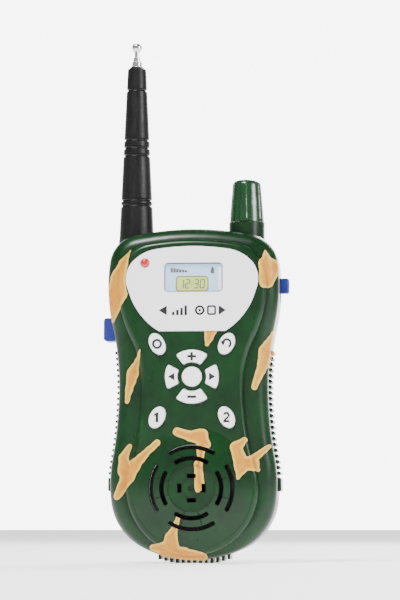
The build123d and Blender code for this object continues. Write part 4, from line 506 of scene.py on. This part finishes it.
def middle_of(node):
    """The middle of a node in x and z, and the depth of its front, in millimetres."""
    low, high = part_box(node)
    return ((low.x + high.x) * TO_MM / 2, (low.z + high.z) * TO_MM / 2), low.y * TO_MM


DIGIT_LEAN = 0.08
DIGIT_GAP = 0.12
SEGMENTS = {
    "0": "abcdef", "1": "bc", "2": "abged", "3": "abgcd",
}


def seven_segment(digit, centre, width, height, line):
    """The lit bars of one display digit."""
    half_w, half_h = width / 2, height / 2
    bars = {
        "a": ((0, half_h), width, line), "d": ((0, -half_h), width, line), "g": ((0, 0), width, line),
        "b": ((half_w, half_h / 2), line, half_h), "c": ((half_w, -half_h / 2), line, half_h),
        "f": ((-half_w, half_h / 2), line, half_h), "e": ((-half_w, -half_h / 2), line, half_h),
    }
    shapes = []
    for key in SEGMENTS[digit]:
        (x, z), long_x, long_z = bars[key]
        points = block((x, z), long_x - DIGIT_GAP, long_z - DIGIT_GAP)
        shapes.append([(centre[0] + px + pz * DIGIT_LEAN, centre[1] + pz) for px, pz in points])
    return shapes


# how far each layer of print, and the painted shadow line, stands out of its face and reaches into it, in millimetres
SIGN_LAYER = (0.03, 0.05)
CARD_LAYER = (0.03, 0.04)
CARD_SIGN_LAYER = (0.035, 0.04)
CARD_SHADOW_LAYER = (0.045, 0.04)
BLACK_INK = ink("print_black", INK)
BLUE_INK = ink("print_grey_blue", srgb(120, 142, 170))
DIGIT_INK = ink("digit_dark_green", srgb(52, 66, 22))
PALE_INK = ink("print_pale", srgb(236, 238, 246))
# a dark ink for the painted shadow that the panel's top edge casts into the window
WINDOW_SHADOW_INK = ink("painted_window_shadow", srgb(72, 70, 92))

# panel: a row of plain signs under the window
panel_y = middle_of("display_panel")[1]
ROW_Z = 102.4
ROW_HEIGHT = 4.0
LEFT_ARROW = (-13.6, -10.2)
RIGHT_ARROW = (13.9, 10.9)
SIGNAL_START, SIGNAL_PITCH, SIGNAL_WIDTH = -7.6, 1.7, 1.05
RING_X = 3.2
FRAME_X = 8.0
row = [[(LEFT_ARROW[0], ROW_Z), (LEFT_ARROW[1], ROW_Z + ROW_HEIGHT / 2), (LEFT_ARROW[1], ROW_Z - ROW_HEIGHT / 2)]]
for step, share in enumerate((0.35, 0.55, 0.75, 1.0)):
    tall = ROW_HEIGHT * share
    row.append(block((SIGNAL_START + step * SIGNAL_PITCH, ROW_Z - (ROW_HEIGHT - tall) / 2), SIGNAL_WIDTH, tall))
row += arc_band((RING_X, ROW_Z), 1.15, 2.0, 0, 360, 32)
row.append(disc((RING_X, ROW_Z), 0.55, 20))
row += border((FRAME_X, ROW_Z), 3.7, ROW_HEIGHT, 0.8, 0.75)
row.append([(RIGHT_ARROW[0], ROW_Z), (RIGHT_ARROW[1], ROW_Z - ROW_HEIGHT / 2),
            (RIGHT_ARROW[1], ROW_Z + ROW_HEIGHT / 2)])
mark("panel_signs", row, panel_y, "casing", "panel", BLACK_INK, *SIGN_LAYER)

# display card: window border, a painted shadow along the window's top, signal bars, battery sign
window_middle = middle_of("display_window")[0]
card_y = middle_of("display_card")[1]
lcd_middle, lcd_y = middle_of("lcd_glass")
WINDOW_SIZE = (24.0, 12.0)
BORDER_CORNER, BORDER_LINE = 1.6, 0.45
mark("window_border", border(window_middle, *WINDOW_SIZE, BORDER_CORNER, BORDER_LINE), card_y, "casing", "card",
     BLUE_INK, *CARD_LAYER)
mark("card_margin", [rounded((window_middle[0] + 10.6, window_middle[1] - 0.4), 1.0, 9.6, 0.4)], card_y, "casing",
     "card", PALE_INK, *CARD_SIGN_LAYER)
# painted shadow: a dark strip on the card along the window's top edge stands in for the shade falling into the recess
mark("window_top_shadow", [rounded((window_middle[0], window_middle[1] + 5.75), 21.6, 0.5, 0.2)], card_y, "casing",
     "card", WINDOW_SHADOW_INK, *CARD_SHADOW_LAYER)
BAR_START, BAR_PITCH, BAR_WIDTH = -8.3, 1.15, 0.95
BAR_TALLEST, BAR_STEP, BAR_RISE = 1.9, 0.2, 3.0
CELL_X = 8.3
bars = []
for step in range(6):
    tall = BAR_TALLEST - BAR_STEP * step
    bars.append(block((BAR_START + step * BAR_PITCH, window_middle[1] + BAR_RISE - (BAR_TALLEST - tall) / 2),
                      BAR_WIDTH, tall))
bars.append(block((CELL_X, window_middle[1] + 2.6), 1.4, 2.0))
bars.append(block((CELL_X, window_middle[1] + 3.9), 0.8, 0.6))
mark("card_signs", bars, card_y, "casing", "card", BLACK_INK, *CARD_SIGN_LAYER)

# display digits and the line round the display
lcd_low, lcd_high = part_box("lcd_glass")
LCD_SIZE = ((lcd_high.x - lcd_low.x) * TO_MM, (lcd_high.z - lcd_low.z) * TO_MM)
mark("display_border", border(lcd_middle, *LCD_SIZE, BORDER_CORNER, BORDER_LINE), lcd_y, "casing", "lcd", DIGIT_INK,
     *CARD_LAYER)
DIGIT_SIZE = (1.6, 3.4)
DIGIT_LINE = 0.62
COLON_X, COLON_RISE, COLON_RADIUS = -0.05, 0.85, 0.26
digits = []
for offset, digit in ((-4.3, "1"), (-1.9, "2"), (1.7, "3"), (4.2, "0")):
    digits += seven_segment(digit, (lcd_middle[0] + offset, lcd_middle[1]), *DIGIT_SIZE, DIGIT_LINE)
for rise in (-COLON_RISE, COLON_RISE):
    digits.append(disc((lcd_middle[0] + COLON_X, lcd_middle[1] + rise), COLON_RADIUS, 16))
mark("display_digits", digits, lcd_y, "casing", "lcd", DIGIT_INK, *CARD_SIGN_LAYER)


# key legends
def legend(key, shapes):
    """A printed sign in the middle of a key."""
    centre, key_y = middle_of(key)
    moved = [[(centre[0] + x, centre[1] + z) for x, z in outline] for outline in shapes]
    mark(key + "_sign", moved, key_y, key + "_body", "key", BLACK_INK, *SIGN_LAYER)


ARROW = [(-1.5, 0.0), (1.1, 1.6), (1.1, -1.6)]
legend("left_key", [ARROW])
legend("right_key", [[(-x, z) for x, z in ARROW[::-1]]])
legend("up_key", [block((0.0, 0.3), 3.6, 1.0), block((0.0, 1.4), 1.0, 1.2), block((0.0, -0.8), 1.0, 1.2)])
legend("down_key", [block((0.0, -0.3), 3.6, 1.0)])
legend("clear_key", arc_band((0.0, 0.0), 1.15, 2.05, 0, 360, 32))
legend("return_key", arc_band((0.1, 0.1), 1.2, 2.05, -60, 140, 20) + [[(-2.4, 0.9), (-0.2, 1.55), (-1.35, -0.95)]])
legend("one_key", [[(-0.55, -2.0), (0.55, -2.0), (0.55, 2.0), (-0.15, 2.0), (-1.35, 1.1), (-1.05, 0.45),
                    (-0.55, 0.8)]])
legend("two_key", arc_band((0.0, 0.8), 0.5, 1.35, -38, 170, 18)
       + [[(1.0, -0.1), (0.36, 0.42), (-1.3, -1.3), (-0.2, -1.3)], block((0.0, -1.65), 2.6, 0.85)])

# ---- Stage, lights and camera ------------------------------------------------------------------------------------


def floor_material():
    """Pale studio paper."""
    made, tree, shader = material("studio_paper", Emission_Color=(1.0, 1.0, 1.0, 1.0), Emission_Strength=0.9)
    cloud = noise(tree, place(tree), 0.02, 2.0)
    plug(tree, blend(tree, cloud, (0.90, 0.90, 0.90, 1.0), (0.93, 0.93, 0.93, 1.0)), shader.inputs["Base Color"])
    plug(tree, spread(tree, cloud, 0.0, 1.0, 0.7, 0.8), shader.inputs["Roughness"])
    return made


FLOOR_HALF = 6.0
HORIZON_LIGHT = 0.6
BACKDROP_GAIN = 12.0  # the backdrop behind the toy is this much brighter than the rest of the horizon
HORIZON_BAND = (0.2, 0.45)
BACKDROP_EDGE = (0.75, 0.95)
OVERHEAD_LIGHT = 0.25
floor_mesh = bpy.data.meshes.new("floor")
floor_mesh.from_pydata([(-FLOOR_HALF, -FLOOR_HALF, 0.0), (FLOOR_HALF, -FLOOR_HALF, 0.0),
                        (FLOOR_HALF, FLOOR_HALF, 0.0), (-FLOOR_HALF, FLOOR_HALF, 0.0)], [], [(0, 1, 2, 3)])
floor = bpy.data.objects.new("floor", floor_mesh)
floor_mesh.materials.append(floor_material())
bpy.context.scene.collection.objects.link(floor)

world = bpy.data.worlds.new("studio")
world.use_nodes = True
sky = world.node_tree
height = sky.nodes.new("ShaderNodeSeparateXYZ")
sky.links.new(sky.nodes.new("ShaderNodeTexCoord").outputs["Generated"], height.inputs[0])
level = calc(sky, "ABSOLUTE", height.outputs[2])
background = sky.nodes["Background"]
background.inputs["Color"].default_value = (1.0, 1.0, 1.0, 1.0)
around = spread(sky, level, *HORIZON_BAND, HORIZON_LIGHT, OVERHEAD_LIGHT)
behind_toy = spread(sky, height.outputs[1], *BACKDROP_EDGE, 1.0, BACKDROP_GAIN)
plug(sky, calc(sky, "MULTIPLY", around, behind_toy), background.inputs["Strength"])
bpy.context.scene.world = world

AIM = Vector((0.002, 0.004, (cad_box[0][2] + cad_box[1][2]) / 2))


def area_light(name, place_at, power, size):
    """A soft square light that faces the toy."""
    data = bpy.data.lights.new(name, "AREA")
    data.energy = power
    data.size = size
    lamp = bpy.data.objects.new(name, data)
    lamp.location = place_at
    lamp.rotation_euler = (AIM - Vector(place_at)).to_track_quat("-Z", "Y").to_euler()
    bpy.context.scene.collection.objects.link(lamp)


# name, place in metres, power in watts and size in metres
LIGHTS = [
    ("key_light", (-0.35, -0.7, 1.25), 34.0, 0.35),
    ("side_light", (0.9, -0.5, 0.45), 9.0, 0.3),
    ("back_light", (0.3, 0.9, 0.8), 18.0, 0.5),
]
for light in LIGHTS:
    area_light(*light)

CAMERA_TURN = math.radians(4.5)
CAMERA_LIFT = math.radians(-4.8)
CAMERA_DISTANCE = 1.1
CAMERA_LENS = 160.0
SENSOR_WIDTH = 36.0
camera_data = bpy.data.cameras.new("camera")
camera_data.lens = CAMERA_LENS
camera_data.sensor_width = SENSOR_WIDTH
camera = bpy.data.objects.new("camera", camera_data)
toward = Vector((math.sin(CAMERA_TURN) * math.cos(CAMERA_LIFT), -math.cos(CAMERA_TURN) * math.cos(CAMERA_LIFT),
                 math.sin(CAMERA_LIFT)))
camera.location = AIM + toward * CAMERA_DISTANCE
camera.rotation_euler = (-toward).to_track_quat("-Z", "Y").to_euler()
bpy.context.scene.collection.objects.link(camera)
bpy.context.scene.camera = camera
